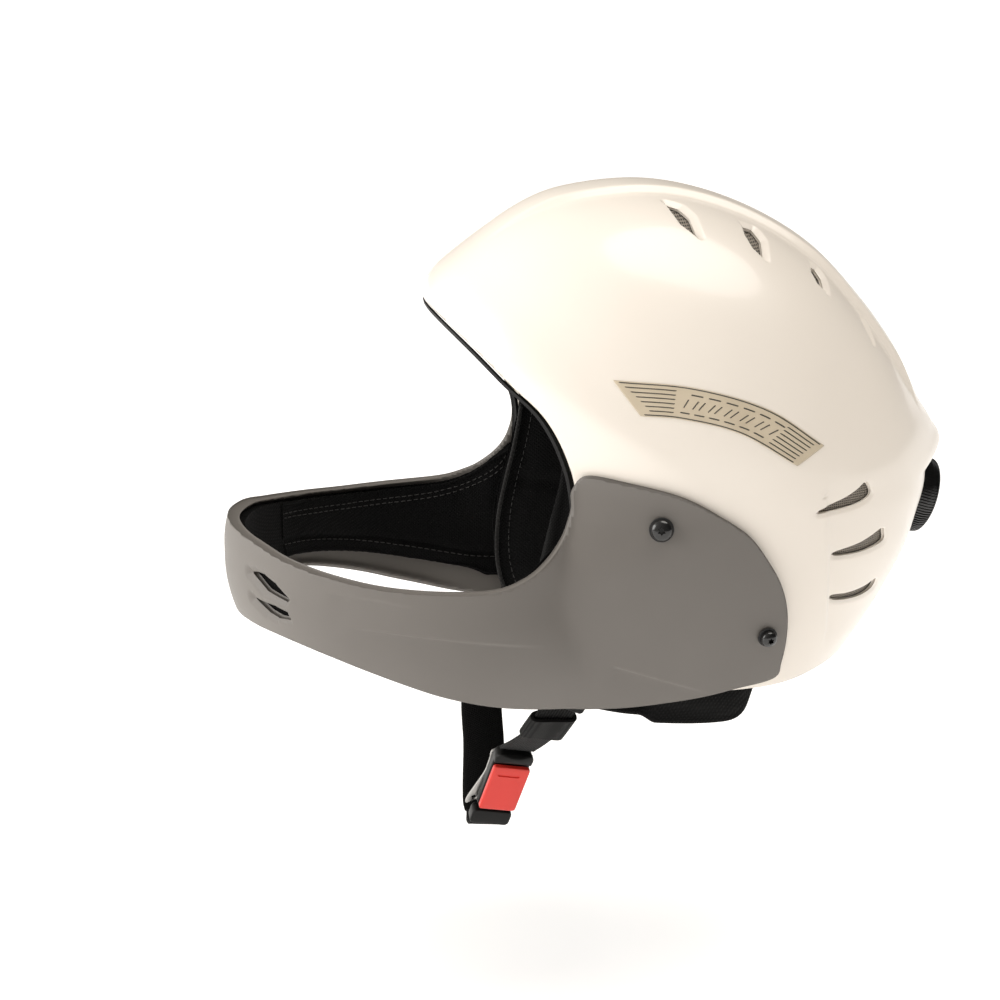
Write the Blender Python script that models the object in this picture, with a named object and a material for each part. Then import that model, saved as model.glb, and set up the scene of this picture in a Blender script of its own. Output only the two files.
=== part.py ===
"""Full-face water sports helmet: shell, liner and pads, removable chin guard, chin strap with buckle, fit dial.

Millimetres in the tables below, metres in the scene. The helmet faces -X, +Y is the wearer's right, +Z is up.
The origin is the middle of the crown pad's underside, where the head bears.
"""

import math

import bmesh
import bpy
import numpy as np

MM = 0.001

# Shell: a superellipsoid swept round an axis through both ears
EAR_X, EAR_Z = 40.0, -120.0
SHELL_HALF_WIDTH = 110.0
ROUNDNESS = 2.25
SHELL_WALL = 3.2
# Middle section of the shell, seen from the side, forehead to nape and back under the opening
SHELL_PROFILE = [
    (-111, -22), (-107, -12.5), (-90, 2), (-68, 17), (-47, 26), (-22, 31), (8, 32), (40, 25.5), (66, 15),
    (91, -0.5),
    (117.5, -28), (134, -50), (147, -74), (156, -98), (158, -119), (153.5, -140), (148, -158), (140, -175),
    (131, -192), (118, -211), (103, -234), (58, -291), (-39, -298), (-128, -238), (-138, -185), (-119, -145),
    (-101, -120), (-91, -93), (-99, -60), (-107, -37),
]
# Tail lip: extra radius over the angle above the ear axis
LIP = [(0, 0), (2.4, 0), (4.4, 9), (6.9, 13), (10.6, 9.5), (21, 3), (32, 0)]
LIP_FULL, LIP_END = 0.0, 76.0
SPINE_RISE = 3.4
# Edge of the shell, seen from the side: brow, cheek, round the ear and along the neck
SHELL_EDGE = [
    (-112, -24), (-104.5, -29), (-92, -40), (-77, -55), (-64, -67), (-56, -79), (-50, -93), (-47, -105),
    (-46, -125), (-46, -185), (-42, -203), (-28, -212), (40, -214), (92, -211), (150, -205),
]

# Chin guard
GUARD_GAP = 0.8
GUARD_WALL, GUARD_BAR_WALL = 3.2, 4.6
BAR_X, BAR_REACH, BAR_HALF_WIDTH, BAR_ROUND = -94.0, 124.0, 111.0, 1.8
GUARD_OUTLINE = [
    (-43, -97), (-24, -99), (2, -105), (22, -115), (38, -126), (48, -139), (56, -153), (60, -168), (60, -184),
    (57, -199), (50, -207), (36, -211.5), (4, -218.5), (-37, -222), (-78, -218.5), (-112, -210.5), (-138, -202),
    (-170, -192), (-192, -187.5), (-208, -187), (-230, -187), (-230, -138), (-209, -138), (-192, -143),
    (-170, -147), (-140, -150), (-94, -150), (-74, -145), (-62, -137), (-54, -127), (-50, -115), (-49, -104),
]
SLOTS = [
    [(-40.3, -156.6), (-45.3, -155.3), (-50.4, -155.4), (-57.4, -158.2), (-64.6, -164),
     (-63.3, -165.4), (-57.2, -164.1), (-50.8, -162.7), (-45, -159)],
    [(-41, -170.2), (-47.3, -170.8), (-56.1, -170.8), (-62.9, -172.2), (-64, -174.9),
     (-56.3, -176.1), (-50.1, -174.8)],
]

# Vents: (angle above the ear axis, sideways distance) on top, (x, z) at the rear
TOP_VENTS = [
    [(101.4, 30.5), (99.2, 33.5), (97.9, 41.5), (98.1, 56), (100.3, 49.5), (101.0, 39)],
    [(86.0, 37), (83.5, 35.8), (82.3, 43.5), (82.9, 58), (85.1, 54), (86.1, 46.5)],
    [(68.6, 41), (66.8, 40.6), (65.4, 44.7), (64.7, 55), (67.5, 53.6), (68.8, 48.6)],
    [(51.2, 41), (49.6, 41.5), (47.9, 45), (45.4, 53), (48.2, 50), (50.6, 45)],
]
REAR_VENTS = [
    [(75.8, -117.2), (84.1, -114.7), (91.5, -112.4), (97.7, -109.3), (102.1, -106.4), (104.8, -109.6),
     (105.3, -112.7), (102.3, -114.9), (96.3, -116.5), (87.2, -117.5), (76.1, -118.2)],
    [(86.2, -141.7), (93.6, -140.6), (101.5, -139.3), (108.8, -136.9), (115.2, -134.3), (116.8, -137.6),
     (117.0, -141.3), (112.3, -143.1), (103.8, -144.2), (93.9, -143.9), (86.4, -143.0)],
    [(87.9, -167.0), (95.9, -168.0), (103.8, -168.2), (111.1, -167.3), (116.6, -165.6), (116.8, -169.7),
     (113.9, -171.8), (107.4, -172.5), (100.0, -171.8), (93.0, -170.6), (88.1, -168.8)],
]
MESH_DEPTH, MESH_THICK = 3.6, 0.8
CHIN_PAD_EDGE = [
    (-230, -143), (-208, -143), (-190, -148), (-168, -150.8), (-140, -153.2), (-104, -153.5), (-84, -150.5),
    (-70, -144.5), (-60, -137), (-55.5, -129), (-55, -140), (-55, -208), (-76, -206), (-112, -198.5),
    (-138, -192), (-170, -185), (-192, -182), (-230, -182),
]

# Foam and pads, as depths under the shell's outer face
FOAM_OUT, FOAM_IN = 4.8, 25.0
FOAM_EDGE = [
    (-106.5, -27), (-99, -32), (-87, -43.5), (-73, -58), (-61, -70), (-20, -96), (30, -113), (66, -128),
    (70, -208), (92, -208), (150, -202),
]
PAD_OUT = 26.2
CHEEK_IN = 70.0
CHEEK_EDGE = [
    (-60, -75.5), (-54.5, -84), (-52.5, -95), (-57, -122), (-62, -143), (-66, -162), (-67.5, -181), (-66, -200),
    (-60, -216), (-46, -227), (-22, -234.5), (0, -237.5), (36, -239.5), (52, -234.5), (63, -217), (66, -205),
    (64, -130), (29, -114.5), (-20.5, -97.6), (-57, -74.2),
]

# Guard screws: (x, z) on the shell's side, head radius
SCREWS = {"front": (-6.0, -122.5, 5.4), "rear": (48.8, -180.6, 4.3)}
SHANK = 2.4

# Fit dial, on the shell's back
DIAL_X, DIAL_Z, DIAL_TILT = 154.2, -139.0, 17.5
DIAL_RADIUS, DIAL_DEEP = 21.8, 12.6
PINION_TEETH, PINION_PITCH = 12, 5.0

# Chin strap
PIVOT_X, PIVOT_Z = -38.0, -190.0
WEB, WEB_THICK = 20.0, 1.8
NEAR_PATH = [(-41, -84.2, -203), (-47, -84.2, -213), (-53.5, -81, -226), (-58, -69.5, -240.5),
             (-62.5, -53, -253), (-66.7, -35.8, -264.0)]
FAR_PATH = [(-79.8, -3.6, -318.2), (-78.4, 5.4, -317.2), (-76.2, 23, -308), (-72.8, 44, -292),
            (-70.5, 66, -270), (-62, 80, -245), (-48.5, 84.2, -219), (-41, 84.2, -203)]
BUCKLE_AT = np.array((-68.2, -33.5, -269.3))
BUCKLE_ALONG = np.array((-11.0, 20.0, -46.0))
HOUSING = (21.6, 44.0, 8.6)
PLATE = [(-9.4, 1), (-10.4, 9), (-10.4, 18), (-12.4, 28), (-14.8, 39.5), (-13.8, 43.4), (-8, 40), (8, 38),
         (9, 1)]


def clear_scene():
    for obj in list(bpy.data.objects):
        bpy.data.objects.remove(obj, do_unlink=True)


# ---- numbers ----

def unit(v):
    v = np.asarray(v, float)
    return v / np.linalg.norm(v)


def smooth(t):
    t = min(1.0, max(0.0, t))
    return t * t * (3 - 2 * t)


def monotone_curve(points):
    """A smooth curve through (t, value) points that makes no new peaks."""
    t = np.array([p[0] for p in points], float)
    v = np.array([p[1] for p in points], float)
    step = np.diff(t)
    rise = np.diff(v) / step
    slope = np.zeros(len(t))
    for i in range(1, len(t) - 1):
        if rise[i - 1] * rise[i] > 0:
            slope[i] = 2 / (1 / rise[i - 1] + 1 / rise[i])

    def value(at):
        i = int(min(max(np.searchsorted(t, at) - 1, 0), len(t) - 2))
        h = step[i]
        u = min(1.0, max(0.0, (at - t[i]) / h))
        return ((1 + 2 * u) * (1 - u) ** 2 * v[i] + u * (1 - u) ** 2 * h * slope[i]
                + u * u * (3 - 2 * u) * v[i + 1] + u * u * (u - 1) * h * slope[i + 1])
    return value


def polar(points):
    found = []
    for x, z in points:
        angle = math.degrees(math.atan2(z - EAR_Z, x - EAR_X)) % 360
        found.append((angle, math.hypot(x - EAR_X, z - EAR_Z)))
    found.sort()
    return [(a - 360, r) for a, r in found[-3:]] + found + [(a + 360, r) for a, r in found[:3]]


shell_radius = monotone_curve(polar(SHELL_PROFILE))
lip_rise = monotone_curve(LIP)


def spine_half(angle):
    return 13 + 22 * smooth((100 - angle) / 60)


def extra_radius(angle, y):
    """The tail lip and the raised band down the middle."""
    a = (angle + 180) % 360 - 180
    rise = 0.0
    if LIP[0][0] < a < LIP[-1][0]:
        rise += lip_rise(a) * (1 - smooth((abs(y) - LIP_FULL) / (LIP_END - LIP_FULL)))
    if 15 < a < 135:
        band = 1 - smooth((abs(y) - spine_half(a)) / 5)
        rise += SPINE_RISE * band * smooth((a - 15) / 18) * smooth((135 - a) / 18)
    return rise


def shell_point(angle, lift, depth=0.0, plain=False):
    """A point on the shell, or depth under it. lift runs from -90 at one ear to 90 at the other."""
    c, s = math.cos(math.radians(lift)), math.sin(math.radians(lift))
    y = (SHELL_HALF_WIDTH - depth) * math.copysign(abs(s) ** (2 / ROUNDNESS), s)
    radius = shell_radius(angle % 360) - depth
    if not plain:
        radius += extra_radius(angle, y)
    r = radius * max(c, 0.0) ** (2 / ROUNDNESS)
    a = math.radians(angle)
    return (EAR_X + r * math.cos(a), y, EAR_Z + r * math.sin(a))


def lift_at(y, depth=0.0):
    q = min(1.0, abs(y) / (SHELL_HALF_WIDTH - depth))
    return math.copysign(math.degrees(math.asin(q ** (ROUNDNESS / 2))), y)


def shell_y(x, z, depth=0.0):
    """Half width of the shell over a point in the side view."""
    r = math.hypot(x - EAR_X, z - EAR_Z)
    angle = math.degrees(math.atan2(z - EAR_Z, x - EAR_X)) % 360
    q = r / (shell_radius(angle) - depth)
    return (SHELL_HALF_WIDTH - depth) * max(0.0, 1 - q ** ROUNDNESS) ** (1 / ROUNDNESS)


def side_normal(x, z, side):
    dx = (shell_y(x + 1, z) - shell_y(x - 1, z)) / 2
    dz = (shell_y(x, z + 1) - shell_y(x, z - 1)) / 2
    return unit((-dx, side, -dz))


# ---- meshes ----

def make(name, points, faces, material=None):
    mesh = bpy.data.meshes.new(name)
    mesh.from_pydata([tuple(float(c) * MM for c in p) for p in points], [], faces)
    mesh.validate()
    obj = bpy.data.objects.new(name, mesh)
    bpy.context.scene.collection.objects.link(obj)
    if material:
        mesh.materials.append(material)
    return obj


def make_material(name, colour, rough, metal=0.0):
    material = bpy.data.materials.new(name)
    material.use_nodes = True
    shader = material.node_tree.nodes["Principled BSDF"]
    shader.inputs["Base Color"].default_value = (*colour, 1)
    shader.inputs["Roughness"].default_value = rough
    shader.inputs["Metallic"].default_value = metal
    return material


def grid_faces(rows, columns, base=0, turned=False, ring=False):
    faces = []
    for i in range(rows if ring else rows - 1):
        for j in range(columns - 1):
            a = base + i * columns + j
            b = base + ((i + 1) % rows) * columns + j
            quad = (a, b, b + 1, a + 1)
            faces.append(quad[::-1] if turned else quad)
    return faces


def sheet(name, front, back, material=None):
    """A closed plate between two grids of points; front's normals must point away from back."""
    rows, columns = len(front), len(front[0])
    points = [p for row in front for p in row] + [p for row in back for p in row]
    n = rows * columns
    faces = grid_faces(rows, columns) + grid_faces(rows, columns, n, True)
    edge = [j for j in range(columns)] + [i * columns + columns - 1 for i in range(1, rows)]
    edge += [(rows - 1) * columns + j for j in range(columns - 2, -1, -1)]
    edge += [i * columns for i in range(rows - 2, 0, -1)]
    for a, b in zip(edge, edge[1:] + edge[:1]):
        faces.append((a, b, n + b, n + a))
    obj = make(name, points, faces, material)
    fix_facing(obj)
    return obj


def fix_facing(obj):
    """Turns every face outward, by the sign of the enclosed volume."""
    mesh = obj.data
    mesh.calc_loop_triangles()
    volume = 0.0
    for tri in mesh.loop_triangles:
        a, b, c = (mesh.vertices[i].co for i in tri.vertices)
        volume += a.dot(b.cross(c))
    if volume < 0:
        mesh.flip_normals()


def prism(name, outline, low, high, to_space, material=None):
    """An outline pushed along a third direction: to_space(u, v, w) gives the point."""
    n = len(outline)
    points = [to_space(u, v, low) for u, v in outline] + [to_space(u, v, high) for u, v in outline]
    faces = [tuple(range(n)), tuple(range(2 * n - 1, n - 1, -1))]
    for i in range(n):
        j = (i + 1) % n
        faces.append((i, n + i, n + j, j))
    obj = make(name, points, faces, material)
    fix_facing(obj)
    return obj


def side_prism(name, outline, low, high, material=None):
    return prism(name, outline, low, high, lambda u, v, w: (u, w, v), material)


def frame_of(axis, along=(0, 0, 1)):
    """Three directions: two across the axis, and the axis."""
    w = unit(axis)
    u = unit(np.cross(along, w))
    return u, np.cross(w, u), w


def block(name, at, size, frame, material=None, corner=0.0):
    """A box centred at a point, its corners cut in the plane of the first two directions."""
    u, v, w = frame
    a, b, c = (s / 2 for s in size)
    if corner:
        k = corner
        outline = [(-a + k, -b), (a - k, -b), (a, -b + k), (a, b - k), (a - k, b), (-a + k, b), (-a, b - k),
                   (-a, -b + k)]
    else:
        outline = [(-a, -b), (a, -b), (a, b), (-a, b)]
    return prism(name, outline, -c, c, lambda p, q, r: np.array(at) + p * u + q * v + r * w, material)


def lathe(name, at, axis, profile, sides, material=None, along=(0, 0, 1), wave=None):
    """A solid turned about an axis from (radius, height) points. A profile of a ring closes on itself."""
    u, v, w = frame_of(axis, along)
    at = np.array(at, float)
    ring = profile[0][0] > 0 and profile[-1][0] > 0 and profile[0] == profile[-1]
    outline = profile[:-1] if ring else profile
    points, index = [], []
    for r, h in outline:
        if r == 0:
            index.append([len(points)] * sides)
            points.append(at + h * w)
            continue
        index.append(list(range(len(points), len(points) + sides)))
        for k in range(sides):
            t = 2 * math.pi * k / sides
            rr = r + (wave(k, r, h) if wave else 0)
            points.append(at + rr * math.cos(t) * u + rr * math.sin(t) * v + h * w)
    faces = []
    pairs = list(zip(index, index[1:] + index[:1] if ring else index[1:]))
    for low, high in pairs:
        for k in range(sides):
            j = (k + 1) % sides
            quad = [low[k], low[j], high[j], high[k]]
            face = [p for i, p in enumerate(quad) if p not in quad[:i]]
            if len(face) > 2:
                faces.append(tuple(face))
    obj = make(name, points, faces, material)
    fix_facing(obj)
    return obj


def disc_profile(radius, low, high, edge=0.0):
    return [(0, low), (radius - edge, low), (radius, low + edge), (radius, high - edge),
            (radius - edge, high), (0, high)] \
        if edge else [(0, low), (radius, low), (radius, high), (0, high)]


def ribbon(name, path, width, thick, across, material=None, face=None):
    """A flat band along a path. across gives the width direction at each point; face holds the side it faces."""
    path = [np.array(p, float) for p in path]
    rings = []
    for i, p in enumerate(path):
        ahead = unit(path[min(i + 1, len(path) - 1)] - path[max(i - 1, 0)])
        side = across[i] if isinstance(across, list) else np.array(across, float)
        side = unit(side - side.dot(ahead) * ahead)
        out = np.cross(ahead, side)
        w = width[i] if isinstance(width, list) else width
        t = thick[i] if isinstance(thick, list) else thick
        rings.append([p + a * w / 2 * side + b * t / 2 * out for a, b in ((-1, -1), (1, -1), (1, 1), (-1, 1))])
    points = [q for ring in rings for q in ring]
    faces = [(0, 1, 2, 3), tuple(4 * (len(path) - 1) + k for k in (3, 2, 1, 0))]
    for i in range(len(path) - 1):
        for k in range(4):
            j = (k + 1) % 4
            faces.append((4 * i + k, 4 * i + 4 + k, 4 * i + 4 + j, 4 * i + j))
    obj = make(name, points, faces, material)
    fix_facing(obj)
    return obj


def rounded_path(points, steps):
    """A Catmull-Rom curve through points."""
    p = [np.array(q, float) for q in points]
    p = [2 * p[0] - p[1]] + p + [2 * p[-1] - p[-2]]
    found = []
    for i in range(1, len(p) - 2):
        for k in range(steps):
            t = k / steps
            found.append(0.5 * (2 * p[i] + (p[i + 1] - p[i - 1]) * t
                                + (2 * p[i - 1] - 5 * p[i] + 4 * p[i + 1] - p[i + 2]) * t * t
                                + (3 * p[i] - p[i - 1] - 3 * p[i + 1] + p[i + 2]) * t ** 3))
    return found + [p[-2]]


def tidy(obj):
    """Triangles only, with no doubled points, so that the next Boolean is exact."""
    work = bmesh.new()
    work.from_mesh(obj.data)
    bmesh.ops.remove_doubles(work, verts=work.verts, dist=1e-6)
    bmesh.ops.dissolve_degenerate(work, edges=work.edges, dist=1e-6)
    bmesh.ops.triangulate(work, faces=work.faces)
    work.to_mesh(obj.data)
    work.free()


def combine(obj, others, operation):
    """Cuts, joins or crosses obj with others, and keeps only the result."""
    for other in others if isinstance(others, list) else [others]:
        tidy(obj)
        modifier = obj.modifiers.new("shape", "BOOLEAN")
        modifier.operation, modifier.solver, modifier.object = operation, "EXACT", other
        graph = bpy.context.evaluated_depsgraph_get()
        shaped = bpy.data.meshes.new_from_object(obj.evaluated_get(graph))
        obj.modifiers.clear()
        obj.data = shaped
        tidy(obj)
        bpy.data.objects.remove(other, do_unlink=True)
    return obj


def cut(obj, cutters):
    return combine(obj, cutters, "DIFFERENCE")


def keep(obj, limit):
    return combine(obj, limit, "INTERSECT")


# ---- shell and liner ----

LIFTS = [0, 4.5, 7.5, 10.5, 13.5, 17, 22, 28, 35, 43, 51, 60, 70, 80]
ANGLES = [0, 2.4, 4.4, 6.9, 9.5, 12.5, 17, 22] + list(range(28, 129, 7)) + list(range(132, 160, 4)) + \
    list(range(165, 181, 7)) + list(range(188, 360, 9))
INNER_LIFTS = [0, 12, 24, 36, 48, 60, 74]
INNER_ANGLES = list(range(0, 129, 9)) + list(range(132, 161, 4)) + list(range(168, 360, 9))


def egg(name, depth, lifts, angles, material=None, plain=False):
    """The whole shell form as a closed body, depth under the outer face."""
    lifts = [-v for v in lifts[:0:-1]] + lifts
    points = [shell_point(0, -90, depth)]
    for lift in lifts:
        points += [shell_point(a, lift, depth, plain) for a in angles]
    points.append(shell_point(0, 90, depth))
    n = len(angles)
    faces = []
    for k in range(n):
        j = (k + 1) % n
        faces.append((0, 1 + j, 1 + k))
        for i in range(len(lifts) - 1):
            a, b = 1 + i * n, 1 + (i + 1) * n
            faces.append((a + k, a + j, b + j, b + k))
        last = 1 + (len(lifts) - 1) * n
        faces.append((last + k, last + j, len(points) - 1))
    obj = make(name, points, faces, material)
    fix_facing(obj)
    return obj


def shell_region(edge, grow=0.0):
    """What lies above and behind an edge line in the side view."""
    top = [(230, edge[-1][1]), (230, 90), (edge[0][0] - 60, 90), (edge[0][0] - 60, edge[0][1] + 3)]
    return side_prism("region", edge + top, -140, 140)


def radial_prism(outline, side, low, high):
    """A cutter through the shell under an outline of (angle, y), by depth."""
    def to_space(a, y, d):
        x, _, z = shell_point(a, lift_at(side * y), d, True)
        return (x, side * y, z)
    return prism("cutter", outline, low, high, to_space)


def side_cutter(outline, side, low, high):
    return side_prism("cutter", outline, side * low, side * high)


def vent_cutters(side):
    return [radial_prism(v, side, 14, -16) for v in TOP_VENTS] + \
        [side_cutter(v, side, 60, 125) for v in REAR_VENTS]


def build_shell(mat):
    shell = egg("outer_shell", 0, LIFTS, ANGLES, mat["shell"])
    cut(shell, egg("inner", SHELL_WALL, INNER_LIFTS, INNER_ANGLES, plain=True))
    keep(shell, shell_region(SHELL_EDGE))
    for side in (-1, 1):
        cut(shell, vent_cutters(side))
        for x, z, _ in SCREWS.values():
            cut(shell, lathe("hole", (x, side * shell_y(x, z), z), side_normal(x, z, side),
                             disc_profile(SHANK + 0.4, -9, 9), 16))
        pivot = (PIVOT_X, side * shell_y(PIVOT_X, PIVOT_Z), PIVOT_Z)
        cut(shell, lathe("hole", pivot, (0, side, 0),
                         [(0, -9), (2.5, -9), (2.5, -2.6), (5.4, -2.6), (5.4, 9), (0, 9)], 16))
    cut(shell, lathe("hole", dial_point(0), DIAL_AXIS, disc_profile(4.6, -12, 12), 20))


def layer(name, out, inn, material=None):
    """A closed curved wall between two depths under the shell."""
    wall = egg(name, out, INNER_LIFTS, INNER_ANGLES, material, plain=True)
    return cut(wall, egg("inner", inn, INNER_LIFTS, INNER_ANGLES, plain=True))


def shifted_line(line, distance):
    """A side-view line moved sideways, away from the shell it bounds."""
    moved = []
    for i, (x, z) in enumerate(line):
        (x0, z0), (x1, z1) = line[max(i - 1, 0)], line[min(i + 1, len(line) - 1)]
        n = math.hypot(x1 - x0, z1 - z0)
        moved.append((x + distance * (z1 - z0) / n, z - distance * (x1 - x0) / n))
    return moved


def build_trim(mat):
    """A bead just ahead of the cut shell, along the brow and the cheeks."""
    line = [(SHELL_EDGE[0][0] - 14, SHELL_EDGE[0][1] + 10)] + SHELL_EDGE[:11]
    band = shifted_line(line, 2.2) + shifted_line(line, 0.4)[::-1]
    trim = egg("edge_trim", 0.15, LIFTS, ANGLES, mat["trim"])
    cut(trim, egg("inner", SHELL_WALL + 0.1, INNER_LIFTS, INNER_ANGLES, plain=True))
    keep(trim, side_prism("band", band, -140, 140))


def build_foam(mat):
    foam = layer("foam_liner", FOAM_OUT, FOAM_IN, mat["foam"])
    keep(foam, shell_region(FOAM_EDGE))
    window = [(-54, -19), (54, -19), (54, 19), (-54, 19)]
    frame = frame_of(DIAL_AXIS)
    cut(foam, prism("window", window, -60, 20, lambda u, v, w: dial_point(w) + u * frame[0] + v * frame[1]))


def patch(name, out, inn, angles, low, high, side, mat):
    """The part of a layer between two angles and two distances from the middle."""
    grids = []
    for depth in (out - 3, inn + 3):
        grids.append([[shell_point(angles[0] + (angles[1] - angles[0]) * i / 6,
                                   lift_at(side * (low + (high - low) * j / 8), depth), depth, True)
                       for j in range(9)] for i in range(7)])
    return keep(layer(name, out, inn, mat), sheet("limit", grids[0], grids[1]))


def crown_depth():
    """Depth of the origin under the shell, so that the crown pad's underside passes through it."""
    angle = math.degrees(math.atan2(-EAR_Z, -EAR_X)) % 360
    return shell_radius(angle) - math.hypot(EAR_X, EAR_Z), angle


def build_pads(mat):
    depth, angle = crown_depth()
    patch("crown_pad", PAD_OUT, depth, (angle - 21, angle + 21), -42, 42, 1, mat["pad"])
    patch("brow_pad", PAD_OUT, 33.5, (133, 145.5), -56, 56, 1, mat["pad"])
    patch("rear_pad", PAD_OUT, 33.5, (14, 40), -46, 46, 1, mat["pad"])
    for side, name in ((-1, "left"), (1, "right")):
        pad = egg("cheek_pad_" + name, 6.0, INNER_LIFTS, INNER_ANGLES, mat["pad"], plain=True)
        keep(pad, side_cutter(CHEEK_EDGE, side, CHEEK_IN, 125))
        for x, z, _ in SCREWS.values():
            at = np.array((x, side * shell_y(x, z), z))
            cut(pad, lathe("nut_room", at, side_normal(x, z, side), disc_profile(8.6, -16, 4), 16))
        cut(pad, prism("strap_room", [(-90, -178), (-4, -178), (-4, -240), (-90, -240)],
                       side * 77.5, side * 125, lambda u, v, w: (u, w, v)))
        inn = MESH_DEPTH + MESH_THICK
        patch("top_mesh_" + name, MESH_DEPTH, inn, (44, 104), 26, 66, side, mat["mesh"])
        rear = layer("rear_mesh_" + name, MESH_DEPTH, inn, mat["mesh"])
        keep(rear, side_cutter([(71, -177), (119, -177), (119, -101), (71, -101)], side, 50, 125))


# ---- chin guard ----

def bar_scale(z):
    """How far the guard's face tucks in at this height."""
    low = max(0.0, (-168 - z) / 45)
    high = max(0.0, (z + 150) / 45)
    return 1 - 0.1 * low ** 2 - 0.03 * high ** 2


def reach_scale(z):
    """The same for the front of the bar, which is rounder."""
    low = max(0.0, (-160 - z) / 45)
    high = max(0.0, (z + 152) / 45)
    return 1 - 0.11 * low ** 2 - 0.16 * high ** 2


def side_half_width(x, z):
    """The guard's outer face over the cheek: on the shell at the back, swelling out to the bar ahead."""
    hug = shell_y(x, z) + GUARD_GAP + GUARD_WALL
    drop = 0.0078 - 0.0056 * smooth((-145 - z) / 60)
    bar = BAR_HALF_WIDTH * bar_scale(z) - drop * (x - BAR_X) ** 2
    blend = 3.0 * smooth((20 - x) / 40)
    return (hug + bar + math.sqrt((hug - bar) ** 2 + blend ** 2)) / 2


def guard_plan(z, side_steps, front_steps):
    """Near half of the guard's outer face at a height: from the back of the cheek to the middle of the front."""
    line = [(64 + (BAR_X - 64) * i / side_steps, None) for i in range(side_steps)]
    line = [(x, -side_half_width(x, z)) for x, _ in line]
    half = side_half_width(BAR_X, z)
    for i in range(front_steps + 1):
        t = math.pi / 2 * i / front_steps
        x = BAR_X - BAR_REACH * reach_scale(z) * math.sin(t) ** (2 / BAR_ROUND)
        line.append((x, -half * max(0.0, math.cos(t)) ** (2 / BAR_ROUND) if i < front_steps else 0.0))
    return line


def plan_normals(line):
    found = []
    for i in range(len(line)):
        a, b = line[max(i - 1, 0)], line[min(i + 1, len(line) - 1)]
        dx, dy = b[0] - a[0], b[1] - a[1]
        n = math.hypot(dx, dy)
        found.append((dy / n, -dx / n))
    return found


def guard_wall(x):
    return GUARD_WALL + (GUARD_BAR_WALL - GUARD_WALL) * smooth((-50 - x) / 40)


def guard_surface(z, inward, side_steps=13, front_steps=12):
    """The whole U at a height, pushed inward by inward(x)."""
    near = guard_plan(z, side_steps, front_steps)
    line = near + [(x, -y) for x, y in near[-2::-1]]
    moved = []
    for (x, y), (nx, ny) in zip(line, plan_normals(line)):
        # The face's normal points forward and sideways, away from the head.
        out = (nx, ny) if nx * (x - 20) + ny * y > 0 else (-nx, -ny)
        d = inward(x)
        moved.append((x - d * out[0], y - d * out[1], z))
    return moved


def guard_layer(name, out, inn, heights, mat=None):
    front = [guard_surface(z, out) for z in heights]
    back = [guard_surface(z, inn) for z in heights]
    return sheet(name, front, back, mat)


def build_guard(mat):
    heights = [-90, -108, -126, -140, -153, -166, -178, -190, -200, -210, -226]
    guard = guard_layer("chin_guard", lambda x: 0.0, guard_wall, heights, mat["guard"])
    keep(guard, side_prism("limit", GUARD_OUTLINE, -140, 140))
    for side in (-1, 1):
        for outline in SLOTS:
            cut(guard, prism("slot", outline, -235, -150, lambda u, v, w, s=side: (w, -s * u, v)))
        for x, z, _ in SCREWS.values():
            cut(guard, lathe("hole", (x, side * shell_y(x, z), z), side_normal(x, z, side),
                             disc_profile(SHANK + 0.4, -8, 12), 16))
    heights = [-104, -118, -130, -140, -148, -156, -164, -172, -180, -188, -196, -206]
    for side, name in ((-1, "left"), (1, "right")):
        pad = guard_layer("chin_pad_" + name, lambda x: guard_wall(x) + 0.5, lambda x: guard_wall(x) + 7.5,
                          heights, mat["pad"])
        keep(pad, side_cutter(CHIN_PAD_EDGE, side, 60, 140))
    grille = guard_layer("chin_grille", lambda x: guard_wall(x) + 0.5, lambda x: guard_wall(x) + 2.5,
                         [-146, -158, -170, -182], mat["trim"])
    keep(grille, side_prism("limit", [(-240, -120), (-187.5, -120), (-187.5, -200), (-240, -200)], -70, 70))


def build_screws(mat):
    for side, hand in ((-1, "left"), (1, "right")):
        for place, (x, z, head) in SCREWS.items():
            at = np.array((x, side * shell_y(x, z), z))
            axis = side_normal(x, z, side)
            top = GUARD_GAP + GUARD_WALL + 0.8
            name = f"{place}_{{}}_{hand}"
            lathe(name.format("washer"), at, axis,
                  [(2.8, top), (head + 0.8, top), (head + 0.8, top + 0.9), (2.8, top + 0.9), (2.8, top)],
                  20, mat["rubber"])
            top += 1.3
            screw = lathe(name.format("screw"), at, axis,
                          [(0, -10), (SHANK, -10), (SHANK, top), (head, top), (head, top + 1.4),
                           (head * 0.8, top + 3), (head * 0.4, top + 3.8), (0, top + 4)], 20, mat["screw"])
            frame = frame_of(axis)
            centre = at + (top + 4) * axis
            cut(screw, [block("cross", centre, (head * 1.0, 1.5, 3.6), frame),
                        block("cross", centre, (1.5, head * 1.0, 3.6), frame)])
            lathe(name.format("nut"), at, axis,
                  [(2.7, -13), (3.9, -13), (3.9, -6.4), (7.2, -6.4), (7.2, -5.1), (2.7, -5.1), (2.7, -13)],
                  18, mat["steel"])


# ---- chin strap ----

def buckle_frame():
    along = unit(BUCKLE_ALONG)
    across = unit(np.array((1.0, 0, 0)) - along[0] * along)
    out = np.cross(across, along)
    out = out if out[1] < 0 else -out
    return across, along, out


def buckle_point(across, along, out):
    u, v, w = buckle_frame()
    return BUCKLE_AT + across * u + along * v + out * w


def widthways(count):
    """The webbing's width direction at each point: the buckle's at the first, the helmet's from the eighth on."""
    across = buckle_frame()[0]
    turn = [max(0.0, 1 - i / 7) for i in range(count)]
    return [across * t + np.array((1.0, 0, 0)) * (1 - t) for t in turn]


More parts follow.
